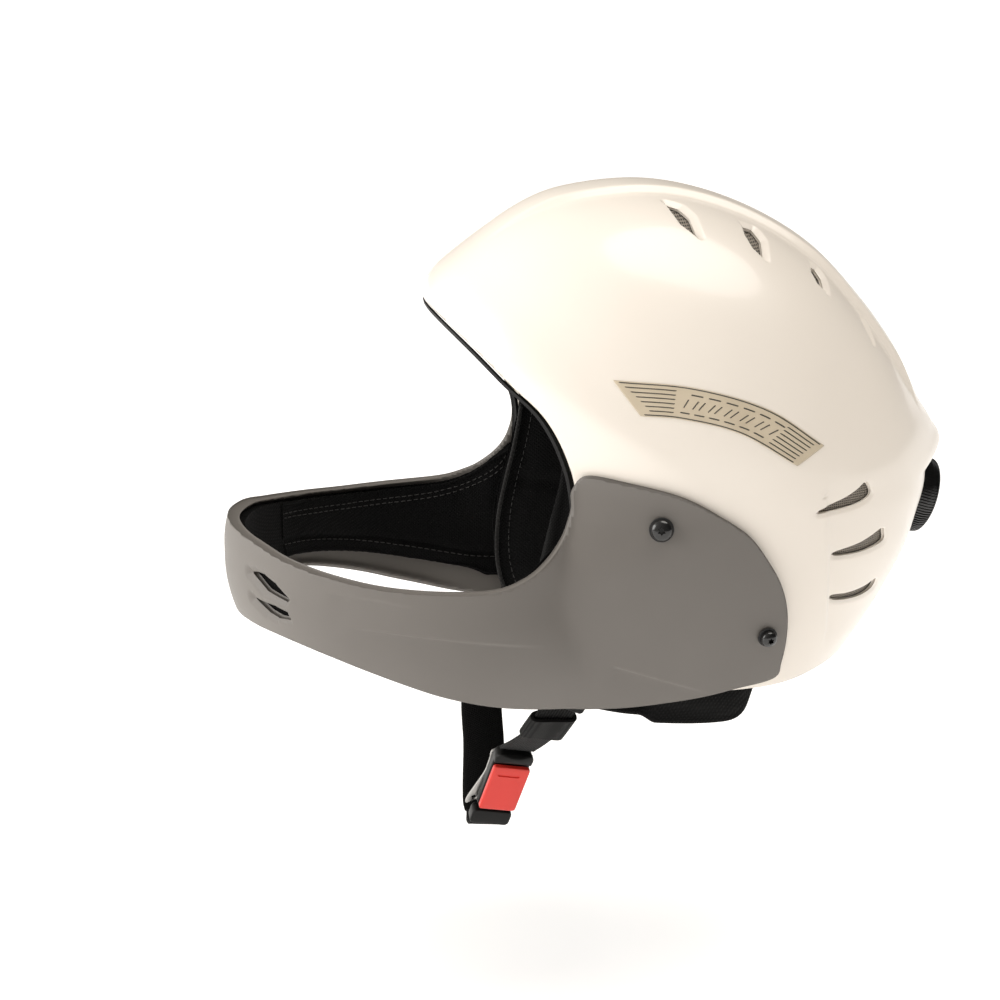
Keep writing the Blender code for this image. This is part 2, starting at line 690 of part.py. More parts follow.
def build_strap(mat):
    for side, hand in ((-1, "left"), (1, "right")):
        edge = shell_y(PIVOT_X, PIVOT_Z)
        deep = edge - 87.4
        lathe(f"strap_rivet_{hand}", (PIVOT_X, side * edge, PIVOT_Z), (0, side, 0),
              [(0, -deep - 3.6), (4, -deep - 3.6), (4, -deep - 2.3), (2.1, -deep - 2.3), (2.1, -2.2),
               (4.8, -2.2), (4.8, -1.2), (0, -1.2)], 16, mat["steel"])
        hanger = block(f"strap_hanger_{hand}", (PIVOT_X - 1.4, side * 86.3, PIVOT_Z - 7.5), (25, 27, 1.6),
                       (np.array((1.0, 0, 0)), np.array((0, 0, 1.0)), np.array((0, 1.0, 0))), mat["steel"], corner=4)
        cut(hanger, [lathe("hole", (PIVOT_X, side * 86.3, PIVOT_Z), (0, 1, 0), disc_profile(2.45, -5, 5), 16),
                     block("hole", (PIVOT_X - 2.2, side * 86.3, PIVOT_Z - 13), (20.6, 7, 8),
                           (np.array((1.0, 0, 0)), np.array((0, 0, 1.0)), np.array((0, 1.0, 0))))])

    near = rounded_path(NEAR_PATH, 4)
    ribbon("left_strap", near, WEB, WEB_THICK, widthways(len(near))[::-1], mat["webbing"])
    far = rounded_path(FAR_PATH, 4)
    ribbon("right_strap", far, WEB, WEB_THICK, widthways(len(far)), mat["webbing"])
    hole = ribbon("hole", far, WEB + 1, WEB_THICK + 0.8, widthways(len(far)))
    sleeve = ribbon("strap_sleeve", far[4:-5], 25, 7.5, (1, 0, 0), mat["pad"])
    cut(sleeve, hole)

    loop_over(near, 11, "strap_fold", (25, 20, 7.4), 3.8, mat["webbing"])
    loop_over(near, 6, "strap_keeper", (24, 6.5, 6.6), 4.2, mat["black"])


def loop_over(path, i, name, size, room, material):
    """A flat loop round the webbing at one point of its path."""
    at, ahead = path[i], unit(path[i + 1] - path[i - 1])
    across = unit(np.array((1.0, 0, 0)) - ahead[0] * ahead)
    out = np.cross(across, ahead)
    out = out if out[1] < 0 else -out
    frame = (across, ahead, out)
    ring = block(name, at, size, frame, material, corner=1.8)
    cut(ring, block("tunnel", at, (WEB + 1.6, 40, room), frame))


def build_buckle(mat):
    """The button lies on a step in the housing, flush with its sides; the tongue enters from the far end."""
    frame = buckle_frame()
    housing = block("buckle_housing", buckle_point(0, 17.5, 0), HOUSING, frame, mat["black"], corner=5)
    cut(housing, [
        block("step", buckle_point(0, 23.8, 4.4), (30, 40, 6), frame),
        block("tongue_room", buckle_point(0, 32, -1.6), (17, 24, 3.6), frame),
        block("latch_room", buckle_point(0, 14, -1.6), (13, 13, 3.6), frame),
    ])
    button = block("buckle_button", buckle_point(0, 20.4, 4.1), (20.8, 32.4, 2.8), frame, mat["red"], corner=1.6)
    cut(button, block("grip", buckle_point(0, 9.6, 5.6), (12, 1.8, 1.4), frame))
    plate = prism("buckle_plate", PLATE, -6.2, -5.0, buckle_point, mat["steel"])
    cut(plate, lathe("eye", buckle_point(-10.9, 38.4, -5.6), frame[2], disc_profile(1.7, -4, 4), 16))
    block("buckle_latch", buckle_point(0, 13.8, -1.6), (11, 11.6, 2.6), frame, mat["steel"], corner=1)
    tongue = block("buckle_tongue", buckle_point(0, 34.1, -1.6), (15.6, 25, 2.2), frame, mat["steel"], corner=3)
    cut(tongue, block("catch", buckle_point(0, 27.5, -1.6), (7, 4, 8), frame))
    grip = block("tongue_grip", buckle_point(0, 46.4, -1.6), (22.4, 10.4, 7), frame, mat["black"], corner=2)
    cut(grip, block("pocket", buckle_point(0, 41.8, -1.6), (16.4, 11, 3), frame))


# ---- fit dial ----

DIAL_AXIS = np.array((math.cos(math.radians(DIAL_TILT)), 0, -math.sin(math.radians(DIAL_TILT))))


def dial_point(out, across=0.0, up=0.0):
    frame = frame_of(DIAL_AXIS)
    return np.array((DIAL_X, 0, DIAL_Z)) + out * DIAL_AXIS + across * frame[0] + up * frame[1]


def build_dial(mat):
    def knurl(k, r, h):
        return -0.7 if k % 4 in (2, 3) and r > DIAL_RADIUS - 1.2 else 0.0
    r = DIAL_RADIUS
    knob = lathe("dial_knob", dial_point(0), DIAL_AXIS,
                 [(0, 1.0), (r - 1, 1.0), (r, 2.2), (r, 9), (r - 1.6, DIAL_DEEP), (r - 5, DIAL_DEEP + 0.6),
                  (r - 8, DIAL_DEEP - 0.6), (0, DIAL_DEEP - 0.6)], 64, mat["black"], wave=knurl)
    cut(knob, lathe("socket", dial_point(0), DIAL_AXIS, disc_profile(4.3, -2, 7), 20))
    lathe("dial_spindle", dial_point(0), DIAL_AXIS,
          [(0, -15.4), (2.2, -15.4), (2.2, -12), (4.0, -12), (4.0, 6.6), (0, 6.6)], 20, mat["black"])
    teeth = []
    for k in range(PINION_TEETH):
        for turn, radius in ((-0.32, 4.0), (-0.16, 5.7), (0.16, 5.7), (0.32, 4.0)):
            t = 2 * math.pi * (k + 0.5 + turn) / PINION_TEETH
            teeth.append((radius * math.cos(t), radius * math.sin(t)))
    pinion = prism("dial_pinion", teeth, -15.2, -12.4, lambda u, v, w: dial_point(w, u, v), mat["white"])
    cut(pinion, lathe("bore", dial_point(0), DIAL_AXIS, disc_profile(2.5, -18, -8), 16))
    for name, low, high, hole in (("gear_cover", -11.9, -10.4, 4.6), ("gear_case", -17.4, -15.9, 1.6)):
        frame = frame_of(DIAL_AXIS)
        plate = block(name, dial_point((low + high) / 2), (76, 32, high - low), frame, mat["black"], corner=5)
        cut(plate, lathe("bore", dial_point(0), DIAL_AXIS, disc_profile(hole, -30, 0), 16))
    pitch = 2 * math.pi * PINION_PITCH / PINION_TEETH
    for side, name in ((-1, "left"), (1, "right")):
        outline = []
        for k in range(-6, 7):
            centre = k * pitch
            for off, depth in ((-0.75, 5.9), (-0.35, 4.4), (0.35, 4.4), (0.75, 5.9)):
                outline.append((centre + off, depth))
        low, high = (-34, 20)
        outline = [(low, 5.9)] + outline + [(high, 5.9), (high, 10.5), (low, 10.5)]
        prism(f"fit_rack_{name}", [(-side * u if side > 0 else u, side * v) for u, v in outline], -15.0, -12.6,
              lambda u, v, w: dial_point(w, u, v), mat["white"])
    lathe("dial_screw", dial_point(0), DIAL_AXIS,
          [(0, -20.4), (3.4, -20.4), (4.2, -19.2), (4.2, -17.8), (1.3, -17.8), (1.3, -15.8), (0, -15.8)],
          16, mat["steel"])


# ---- decals ----

def build_decals(mat):
    """A plain rounded band low on each side of the shell."""
    top = [(-31, -48), (10, -52), (48, -64), (79, -85)]
    low = [(-17, -66), (4, -68), (33, -76), (63, -94)]
    for side, name in ((-1, "left"), (1, "right")):
        grids = []
        for lift in (0.75, 0.3):
            grid = []
            for i in range(5):
                t = i / 4
                row = []
                for j in range(15):
                    s = j / 14 * 3
                    k = min(2, int(s))
                    u = s - k
                    a = [top[k][c] + (top[k + 1][c] - top[k][c]) * u for c in (0, 1)]
                    b = [low[k][c] + (low[k + 1][c] - low[k][c]) * u for c in (0, 1)]
                    x, z = a[0] + (b[0] - a[0]) * t, a[1] + (b[1] - a[1]) * t
                    row.append((x, side * (shell_y(x, z) + lift), z))
                grid.append(row)
            grids.append(grid)
        sheet(f"side_band_{name}", grids[0], grids[1], mat["band"])


def main():
    clear_scene()
    mat = {
        "shell": make_material("shell", (0.88, 0.84, 0.78), 0.32),
        "guard": make_material("guard", (0.23, 0.21, 0.195), 0.5),
        "trim": make_material("trim", (0.02, 0.02, 0.02), 0.6),
        "foam": make_material("foam", (0.05, 0.05, 0.055), 0.9),
        "pad": make_material("pad", (0.012, 0.012, 0.013), 0.95),
        "mesh": make_material("mesh", (0.16, 0.15, 0.13), 0.6),
        "black": make_material("black", (0.015, 0.015, 0.016), 0.45),
        "screw": make_material("screw", (0.01, 0.01, 0.01), 0.2),
        "rubber": make_material("rubber", (0.02, 0.02, 0.02), 0.8),
        "steel": make_material("steel", (0.55, 0.54, 0.52), 0.3, 1.0),
        "webbing": make_material("webbing", (0.015, 0.015, 0.016), 0.9),
        "red": make_material("red", (0.8, 0.07, 0.045), 0.4),
        "white": make_material("white", (0.6, 0.6, 0.58), 0.5),
        "band": make_material("band", (0.62, 0.57, 0.42), 0.45),
    }
    build_shell(mat)
    build_trim(mat)
    build_foam(mat)
    build_pads(mat)
    build_guard(mat)
    build_screws(mat)
    build_strap(mat)
    build_buckle(mat)
    build_dial(mat)
    build_decals(mat)


main()
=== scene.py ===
import math

import bmesh
import bpy
import numpy as np
from mathutils import Matrix, Vector
from mathutils.bvhtree import BVHTree
from mathutils.kdtree import KDTree


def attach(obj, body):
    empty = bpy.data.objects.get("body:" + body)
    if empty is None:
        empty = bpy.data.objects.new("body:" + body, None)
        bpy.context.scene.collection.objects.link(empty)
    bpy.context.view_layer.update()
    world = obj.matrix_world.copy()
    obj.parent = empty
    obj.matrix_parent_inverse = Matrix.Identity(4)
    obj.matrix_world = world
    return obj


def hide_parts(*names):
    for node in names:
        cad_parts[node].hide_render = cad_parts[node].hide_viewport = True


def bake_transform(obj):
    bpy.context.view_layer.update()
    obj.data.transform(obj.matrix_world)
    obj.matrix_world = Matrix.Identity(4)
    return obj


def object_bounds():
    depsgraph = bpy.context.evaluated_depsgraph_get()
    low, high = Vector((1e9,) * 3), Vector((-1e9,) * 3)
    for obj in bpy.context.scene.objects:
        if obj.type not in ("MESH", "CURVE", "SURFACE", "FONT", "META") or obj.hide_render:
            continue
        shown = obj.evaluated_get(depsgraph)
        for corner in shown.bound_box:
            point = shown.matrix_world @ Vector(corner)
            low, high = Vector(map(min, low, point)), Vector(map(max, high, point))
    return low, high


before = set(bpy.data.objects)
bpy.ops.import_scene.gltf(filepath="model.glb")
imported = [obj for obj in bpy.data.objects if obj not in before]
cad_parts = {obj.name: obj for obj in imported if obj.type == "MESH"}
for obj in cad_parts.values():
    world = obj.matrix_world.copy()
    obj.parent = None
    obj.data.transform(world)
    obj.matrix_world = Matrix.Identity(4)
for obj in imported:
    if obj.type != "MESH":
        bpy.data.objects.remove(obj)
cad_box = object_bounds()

# Millimetres throughout, turned into metres where a mesh is made.
# The helmet faces -X, +Y is the wearer's right.
MM = 0.001
SIDES = ((-1, "left"), (1, "right"))

# ---- the helmet's form, repeated from the CAD ----

EAR_X, EAR_Z = 40.0, -120.0
SHELL_HALF_WIDTH, ROUNDNESS, SHELL_WALL = 110.0, 2.25, 3.2
SHELL_PROFILE = [
    (-111, -22), (-107, -12.5), (-90, 2), (-68, 17), (-47, 26), (-22, 31), (8, 32), (40, 25.5), (66, 15),
    (91, -0.5),
    (117.5, -28), (134, -50), (147, -74), (156, -98), (158, -119), (153.5, -140), (148, -158), (140, -175),
    (131, -192), (118, -211), (103, -234), (58, -291), (-39, -298), (-128, -238), (-138, -185), (-119, -145),
    (-101, -120), (-91, -93), (-99, -60), (-107, -37),
]
LIP = [(0, 0), (2.4, 0), (4.4, 9), (6.9, 13), (10.6, 9.5), (21, 3), (32, 0)]
LIP_END, SPINE_RISE = 76.0, 3.4
SHELL_EDGE = [
    (-112, -24), (-104.5, -29), (-92, -40), (-77, -55), (-64, -67), (-56, -79), (-50, -93), (-47, -105),
    (-46, -125), (-46, -185), (-42, -203), (-28, -212), (40, -214), (92, -211), (150, -205),
]
GUARD_GAP, GUARD_WALL, GUARD_BAR_WALL = 0.8, 3.2, 4.6
BAR_X, BAR_REACH, BAR_HALF_WIDTH, BAR_ROUND = -94.0, 124.0, 111.0, 1.8
GUARD_OUTLINE = [
    (-43, -97), (-24, -99), (2, -105), (22, -115), (38, -126), (48, -139), (56, -153),
    (60.5, -168), (61.5, -184),
    (60, -198), (57, -207.5), (36, -212), (4, -218.5), (-37, -222), (-78, -218.5),
    (-112, -210.5), (-138, -202),
    (-170, -192), (-192, -187.5), (-208, -187), (-230, -187), (-230, -138), (-209, -138), (-192, -143),
    (-170, -147), (-140, -150), (-94, -150), (-74, -145), (-62, -137), (-54, -127), (-50, -115), (-49, -104),
]
SLOTS = [
    [(40.3, -156.6), (45.3, -155.3), (50.4, -155.4), (57.4, -158.2), (64.6, -164),
     (63.3, -165.4), (57.2, -164.1), (50.8, -162.7), (45, -159)],
    [(41, -170.2), (47.3, -170.8), (56.1, -170.8), (62.9, -172.2), (64, -174.9),
     (56.3, -176.1), (50.1, -174.8)],
]
TOP_VENTS = [
    [(101.4, 30.5), (99.2, 33.5), (97.9, 41.5), (98.1, 56), (100.3, 49.5), (101.0, 39)],
    [(86.0, 37), (83.5, 35.8), (82.3, 43.5), (82.9, 58), (85.1, 54), (86.1, 46.5)],
    [(68.6, 41), (66.8, 40.6), (65.4, 44.7), (64.7, 55), (67.5, 53.6), (68.8, 48.6)],
    [(51.2, 41), (49.6, 41.5), (47.9, 45), (45.4, 53), (48.2, 50), (50.6, 45)],
]
REAR_VENTS = [
    [(75.8, -117.2), (84.1, -114.7), (91.5, -112.4), (97.7, -109.3), (102.1, -106.4), (104.8, -109.6),
     (105.3, -112.7), (102.3, -114.9), (96.3, -116.5), (87.2, -117.5), (76.1, -118.2)],
    [(86.2, -141.7), (93.6, -140.6), (101.5, -139.3), (108.8, -136.9), (115.2, -134.3), (116.8, -137.6),
     (117.0, -141.3), (112.3, -143.1), (103.8, -144.2), (93.9, -143.9), (86.4, -143.0)],
    [(87.9, -167.0), (95.9, -168.0), (103.8, -168.2), (111.1, -167.3), (116.6, -165.6), (116.8, -169.7),
     (113.9, -171.8), (107.4, -172.5), (100.0, -171.8), (93.0, -170.6), (88.1, -168.8)],
]
DEGREE = 2.62  # millimetres of shell to one degree round the ear axis
FOAM_EDGE = [
    (-106.5, -27), (-99, -32), (-87, -43.5), (-73, -58), (-61, -70), (-20, -96), (30, -113), (66, -128),
    (70, -208), (92, -208), (150, -202),
]
CHEEK_EDGE = [
    (-60, -75.5), (-54.5, -84), (-52.5, -95), (-57, -122), (-62, -143), (-66, -162),
    (-67.5, -181), (-66, -200),
    (-60, -216), (-46, -227), (-22, -234.5), (0, -237.5), (34, -239.5),
    (46.5, -235.5), (50.5, -219), (52, -205),
    (64, -130), (29, -114.5), (-20.5, -97.6), (-57, -74.2),
]
CHIN_PAD_EDGE = [
    (-230, -143), (-208, -143), (-190, -148), (-168, -150.8), (-140, -153.2), (-104, -153.5), (-84, -150.5),
    (-70, -144.5), (-60, -137), (-55.5, -129), (-55, -140), (-55, -208), (-76, -206), (-112, -198.5),
    (-138, -192), (-170, -185), (-192, -182), (-230, -182),
]
SCREWS = {"front": (-6.0, -122.5, 5.4), "rear": (48.8, -180.6, 4.3)}
DIAL_X, DIAL_Z, DIAL_TILT, DIAL_RADIUS, DIAL_DEEP = 154.2, -139.0, 17.5, 21.8, 12.6
WEB, WEB_THICK = 20.0, 1.8
NEAR_PATH = [(-41, -84.2, -203), (-47, -84.2, -213), (-53.5, -81, -226), (-58, -69.5, -240.5),
             (-62.5, -53, -253), (-66.7, -35.8, -264.0)]
FAR_PATH = [(-79.8, -3.6, -318.2), (-78.4, 5.4, -317.2), (-76.2, 23, -308), (-72.8, 44, -292),
            (-70.5, 66, -270), (-62, 80, -245), (-48.5, 84.2, -219), (-41, 84.2, -203)]
BUCKLE_AT, BUCKLE_ALONG = np.array((-68.2, -33.5, -269.3)), np.array((-11.0, 20.0, -46.0))
PLATE = [(-9.4, 1), (-10.4, 9), (-10.4, 18), (-12.4, 28), (-14.8, 39.5), (-13.8, 43.4), (-8, 40), (8, 38),
         (9, 1)]


def unit(v):
    v = np.asarray(v, float)
    return v / np.linalg.norm(v, axis=-1, keepdims=True)


def ease(t):
    t = np.clip(t, 0, 1)
    return t * t * (3 - 2 * t)


def monotone_curve(points):
    """A smooth curve through (t, value) points that makes no new peaks."""
    t, v = np.array(points, float).T
    step = np.diff(t)
    rise = np.diff(v) / step
    slope = np.zeros(len(t))
    same = rise[:-1] * rise[1:] > 0
    slope[1:-1][same] = 2 / (1 / rise[:-1][same] + 1 / rise[1:][same])

    def value(at):
        i = np.clip(np.searchsorted(t, at) - 1, 0, len(t) - 2)
        h = step[i]
        u = np.clip((at - t[i]) / h, 0, 1)
        return ((1 + 2 * u) * (1 - u) ** 2 * v[i] + u * (1 - u) ** 2 * h * slope[i]
                + u * u * (3 - 2 * u) * v[i + 1] + u * u * (u - 1) * h * slope[i + 1])
    return value


def fair(curve, spread):
    """A curve over the whole circle, evened out so that reflections on it run smoothly."""
    at = np.arange(-40, 400, 0.1)
    reach = np.arange(-4 * spread, 4 * spread + 0.05, 0.1)
    weight = np.exp(-reach ** 2 / (2 * spread ** 2))
    values = np.convolve(curve(at % 360), weight / weight.sum(), "same")
    return lambda angle: np.interp(np.asarray(angle) % 360, at, values)


def polar(points):
    found = sorted((math.degrees(math.atan2(z - EAR_Z, x - EAR_X)) % 360, math.hypot(x - EAR_X, z - EAR_Z))
                   for x, z in points)
    return [(a - 360, r) for a, r in found[-3:]] + found + [(a + 360, r) for a, r in found[:3]]


shell_radius = fair(monotone_curve(polar(SHELL_PROFILE)), 1.6)
lip_rise = monotone_curve(LIP)


def extra_radius(angle, y):
    """The tail lip and the raised band down the middle."""
    a = (angle + 180) % 360 - 180
    lip = lip_rise(np.clip(a, LIP[0][0], LIP[-1][0])) * (1 - ease(np.abs(y) / LIP_END))
    half = 13 + 22 * ease((100 - a) / 60)
    band = 1 - ease((np.abs(y) - half) / 4.4)
    return lip + SPINE_RISE * band * ease((a - 15) / 18) * ease((135 - a) / 18)


def shell_form(angle, lift, depth=0.0, plain=False):
    """Points on the shell, or depth under it. lift runs from -90 at one ear to 90 at the other."""
    angle, lift = np.asarray(angle, float), np.asarray(lift, float)
    c, s = np.cos(np.radians(lift)), np.sin(np.radians(lift))
    y = (SHELL_HALF_WIDTH - depth) * np.sign(s) * np.abs(s) ** (2 / ROUNDNESS)
    radius = shell_radius(angle) - depth + (0 if plain else extra_radius(angle, y))
    r = radius * np.maximum(c, 0) ** (2 / ROUNDNESS)
    a = np.radians(angle)
    return np.stack([EAR_X + r * np.cos(a), y, EAR_Z + r * np.sin(a)], -1)


def lift_at(y, depth=0.0):
    q = np.clip(np.abs(y) / (SHELL_HALF_WIDTH - depth), 0, 1)
    return np.sign(y) * np.degrees(np.arcsin(q ** (ROUNDNESS / 2)))


def shell_y(x, z, depth=0.0):
    r = np.hypot(x - EAR_X, z - EAR_Z)
    q = r / (shell_radius(np.degrees(np.arctan2(z - EAR_Z, x - EAR_X))) - depth)
    return (SHELL_HALF_WIDTH - depth) * np.maximum(0, 1 - q ** ROUNDNESS) ** (1 / ROUNDNESS)


def side_normal(x, z, side):
    dx = (shell_y(x + 1, z) - shell_y(x - 1, z)) / 2
    dz = (shell_y(x, z + 1) - shell_y(x, z - 1)) / 2
    return unit((-dx, side, -dz))


def bar_scale(z):
    low, high = np.maximum(0, (-168 - z) / 45), np.maximum(0, (z + 150) / 45)
    return 1 - 0.1 * low ** 2 - 0.03 * high ** 2


def reach_scale(z):
    """The same for the front of the bar, which is rounder."""
    low, high = np.maximum(0, (-160 - z) / 45), np.maximum(0, (z + 152) / 45)
    return 1 - 0.11 * low ** 2 - 0.16 * high ** 2


def side_half_width(x, z):
    hug = shell_y(x, z) + GUARD_GAP + GUARD_WALL
    drop = 0.0078 - 0.0056 * ease((-145 - z) / 60)
    bar = BAR_HALF_WIDTH * bar_scale(z) - drop * (x - BAR_X) ** 2
    blend = 3.0 * ease((20 - x) / 40)
    return (hug + bar + np.sqrt((hug - bar) ** 2 + blend ** 2)) / 2


def guard_form(u, z):
    """The guard's outer face: u runs from -2 at the back of the near cheek over 0 in front to 2 on the far cheek."""
    u, z = np.asarray(u, float), np.asarray(z, float)
    w = 2 - np.abs(u)
    side = w < 1
    t = np.clip(w - 1, 0, 1) * math.pi / 2
    x_side = 64 + (BAR_X - 64) * np.minimum(w, 1)
    x_front = BAR_X - BAR_REACH * reach_scale(z) * np.sin(t) ** (2 / BAR_ROUND)
    y_front = side_half_width(BAR_X, z) * np.maximum(0, np.cos(t)) ** (2 / BAR_ROUND)
    x = np.where(side, x_side, x_front)
    y = np.where(side, side_half_width(x_side, z), y_front)
    return np.stack([x, np.sign(u) * y, z], -1)


def guard_wall(x):
    return GUARD_WALL + (GUARD_BAR_WALL - GUARD_WALL) * ease((-50 - x) / 40)


# ---- outlines ----

def rounded(points, steps, closed=True):
    """A Catmull-Rom curve through points."""
    p = np.array(points, float)
    p = (np.concatenate([p[-1:], p, p[:2]]) if closed
         else np.concatenate([2 * p[:1] - p[1:2], p, 2 * p[-1:] - p[-2:-1]]))
    t = (np.arange(steps) / steps)[:, None]
    found = [0.5 * (2 * p[i] + (p[i + 1] - p[i - 1]) * t
                    + (2 * p[i - 1] - 5 * p[i] + 4 * p[i + 1] - p[i + 2]) * t * t
                    + (3 * p[i] - p[i - 1] - 3 * p[i + 1] + p[i + 2]) * t ** 3) for i in range(1, len(p) - 2)]
    if not closed:
        found.append(p[-2:-1])
    return np.concatenate(found)


def distance_to(px, pz, outline):
    """Signed distance to a closed outline, negative inside, and the direction away from it."""
    best = np.full(px.shape, 1e9)
    away = np.zeros(px.shape + (2,))
    inside = np.zeros(px.shape, bool)
    outline = np.asarray(outline, float)
    for (x0, z0), (x1, z1) in zip(outline, np.roll(outline, -1, 0)):
        ex, ez = x1 - x0, z1 - z0
        t = np.clip(((px - x0) * ex + (pz - z0) * ez) / max(ex * ex + ez * ez, 1e-12), 0, 1)
        dx, dz = px - x0 - t * ex, pz - z0 - t * ez
        d = np.hypot(dx, dz)
        nearer = d < best
        best = np.where(nearer, d, best)
        away[nearer] = np.stack([dx, dz], -1)[nearer]
        if z0 != z1:
            inside ^= ((z0 > pz) != (z1 > pz)) & (px < ex * (pz - z0) / ez + x0)
    away /= np.maximum(best, 1e-9)[..., None]
    return np.where(inside, -best, best), np.where(inside[..., None], -away, away)


def distance_to_line(px, pz, line):
    """Distance to an open line, which side of it (positive to its left), and how far along (0 to 1)."""
    best, side, along = np.full(px.shape, 1e9), np.ones(px.shape), np.zeros(px.shape)
    line = np.asarray(line, float)
    n = len(line) - 1
    for i in range(n):
        (x0, z0), (x1, z1) = line[i], line[i + 1]
        ex, ez = x1 - x0, z1 - z0
        t = np.clip(((px - x0) * ex + (pz - z0) * ez) / (ex * ex + ez * ez), 0, 1)
        d = np.hypot(px - x0 - t * ex, pz - z0 - t * ez)
        nearer = d < best
        best = np.where(nearer, d, best)
        side = np.where(nearer, np.sign(ex * (pz - z0) - ez * (px - x0)), side)
        along = np.where(nearer, (i + t) / n, along)
    return best, side, along


def region_above(edge):
    edge = list(map(tuple, rounded(edge, 6, closed=False)))
    return edge + [(230, edge[-1][1]), (230, 90), (edge[0][0] - 60, 90), (edge[0][0] - 60, edge[0][1] + 3)]


# ---- curved sheets with thickness, cut to an outline ----

class Grid:
    """Cells over two parameters, split where more detail is wanted and cut off along keep(u, v) = 0."""

    def __init__(self, us, vs, keep, level, deepest=3, ring=False, poles=False):
        self.us, self.vs, self.k = np.asarray(us, float), np.asarray(vs, float), 1 << deepest
        self.ring, self.poles = ring, poles
        nu, nv = len(us) - 1, len(vs) - 1
        self.nu, self.nv = nu, nv
        cu, cv = np.meshgrid((self.us[1:] + self.us[:-1]) / 2, (self.vs[1:] + self.vs[:-1]) / 2,
                             indexing="ij")
        levels = np.clip(level(cu.ravel(), cv.ravel()), 0, deepest).astype(int).reshape(nu, nv)
        gone = keep(cu.ravel(), cv.ravel()).reshape(nu, nv) < -14
        polygons = self.cells(levels, gone)
        self.clip(polygons, keep)

    def cells(self, levels, gone):
        k, nu, nv = self.k, self.nu, self.nv
        polygons = []
        for i in range(nu):
            for j in range(nv):
                if gone[i, j]:
                    continue
                own = levels[i, j]
                s = k >> own
                west = k >> max(own, levels[i - 1, j] if i or self.ring else 0)
                east = k >> max(own, levels[(i + 1) % nu, j] if i < nu - 1 or self.ring else 0)
                south = k >> max(own, levels[i, j - 1] if j else 0)
                north = k >> max(own, levels[i, j + 1] if j < nv - 1 else 0)
                for a in range(0, k, s):
                    for b in range(0, k, s):
                        i0, j0 = i * k + a, j * k + b
                        i1, j1 = i0 + s, j0 + s
                        ring = [(p, j0) for p in range(i0, i1, south if b == 0 else s)]
                        ring += [(i1, p) for p in range(j0, j1, east if a + s == k else s)]
                        ring += [(p, j1) for p in range(i1, i0, -(north if b + s == k else s))]
                        ring += [(i0, p) for p in range(j1, j0, -(west if a == 0 else s))]
                        polygons.append((ring, s))
        return polygons

    def name_of(self, p):
        i, j = p
        if self.poles and j in (0, self.nv * self.k):
            i = 0
        if self.ring:
            i %= self.nu * self.k
        return i * (self.nv * self.k + 1) + j

    def clip(self, polygons, keep):
        index, raw, size = {}, [], []
        named = []
        for ring, s in polygons:
            ids = []
            for p in ring:
                key = self.name_of(p)
                at = index.get(key)
                if at is None:
                    at = index[key] = len(raw)
                    raw.append(p)
                    size.append(s)
                else:
                    size[at] = min(size[at], s)
                ids.append(at)
            named.append(ids)
        raw, size = np.array(raw, float), np.array(size, float) / self.k
        u = np.interp(raw[:, 0] / self.k, np.arange(self.nu + 1), self.us)
        v = np.interp(raw[:, 1] / self.k, np.arange(self.nv + 1), self.vs)
        u0, v0 = u.copy(), v.copy()
        f = keep(u, v)
        du = np.gradient(self.us).mean() * 0.02
        dv = np.gradient(self.vs).mean() * 0.02
        # Points close to the cut move onto it, so that no slivers are left along it.
        for _ in range(2):
            near = np.abs(f) < 0.75 * size
            near[self.pole_rows(raw)] = False
            if not near.any():
                break
            fu = (keep(u[near] + du, v[near]) - f[near]) / du
            fv = (keep(u[near], v[near] + dv) - f[near]) / dv
            hu, hv = du * 50, dv * 50
            slope = np.maximum((fu * hu) ** 2 + (fv * hv) ** 2, 1e-9)
            u[near] -= np.clip(f[near] * fu * hu * hu / slope, -hu * 0.3 * size[near], hu * 0.3 * size[near])
            v[near] -= np.clip(f[near] * fv * hv * hv / slope, -hv * 0.3 * size[near], hv * 0.3 * size[near])
            f[near] = keep(u[near], v[near])
        f[np.abs(f) < 0.02] = 0
        shift_u, shift_v = u - u0, v - v0
        faces, cuts, ends = [], {}, []
        for (ring, _), ids in zip(polygons, named):
            values = [f[i] for i in ids]
            if min(values) >= 0:
                if max(values) > 0:
                    faces.append(ids)
                continue
            if max(values) <= 0:
                continue
            face = []
            n = len(ids)
            for q in range(n):
                a, b = ids[q], ids[(q + 1) % n]
                if values[q] >= 0:
                    face.append(a)
                if values[q] * values[(q + 1) % n] < 0:
                    key = (min(a, b), max(a, b))
                    if key not in cuts:
                        cuts[key] = len(u) + len(ends)
                        ends.append((ring[q], a, ring[(q + 1) % n], b))
                    face.append(cuts[key])
            faces.append(face)
        if ends:
            pa, pb = [], []
            for p, a, q, b in ends:
                pa.append((self.param(p, 0) + shift_u[a], self.param(p, 1) + shift_v[a], f[a]))
                pb.append((self.param(q, 0) + shift_u[b], self.param(q, 1) + shift_v[b], f[b]))
            pa, pb = np.array(pa), np.array(pb)
            low, high, fa, fb = np.zeros(len(pa)), np.ones(len(pa)), pa[:, 2], pb[:, 2]
            t = fa / (fa - fb)
            for _ in range(12):
                at = pa[:, :2] + (pb[:, :2] - pa[:, :2]) * t[:, None]
                value = keep(at[:, 0], at[:, 1])
                same = np.sign(value) == np.sign(fa)
                low, high = np.where(same, t, low), np.where(same, high, t)
                t = (low + high) / 2
            at = pa[:, :2] + (pb[:, :2] - pa[:, :2]) * t[:, None]
            u, v = np.concatenate([u, at[:, 0]]), np.concatenate([v, at[:, 1]])
        faces = [self.without_repeats(face) for face in faces]
        faces = [face for face in faces if len(face) > 2]
        used = np.unique(np.concatenate([np.array(face) for face in faces]))
        new = np.full(len(u), -1)
        new[used] = np.arange(len(used))
        self.u, self.v = u[used], v[used]
        self.faces = [[int(new[i]) for i in face] for face in faces]
        self.loops = self.borders()

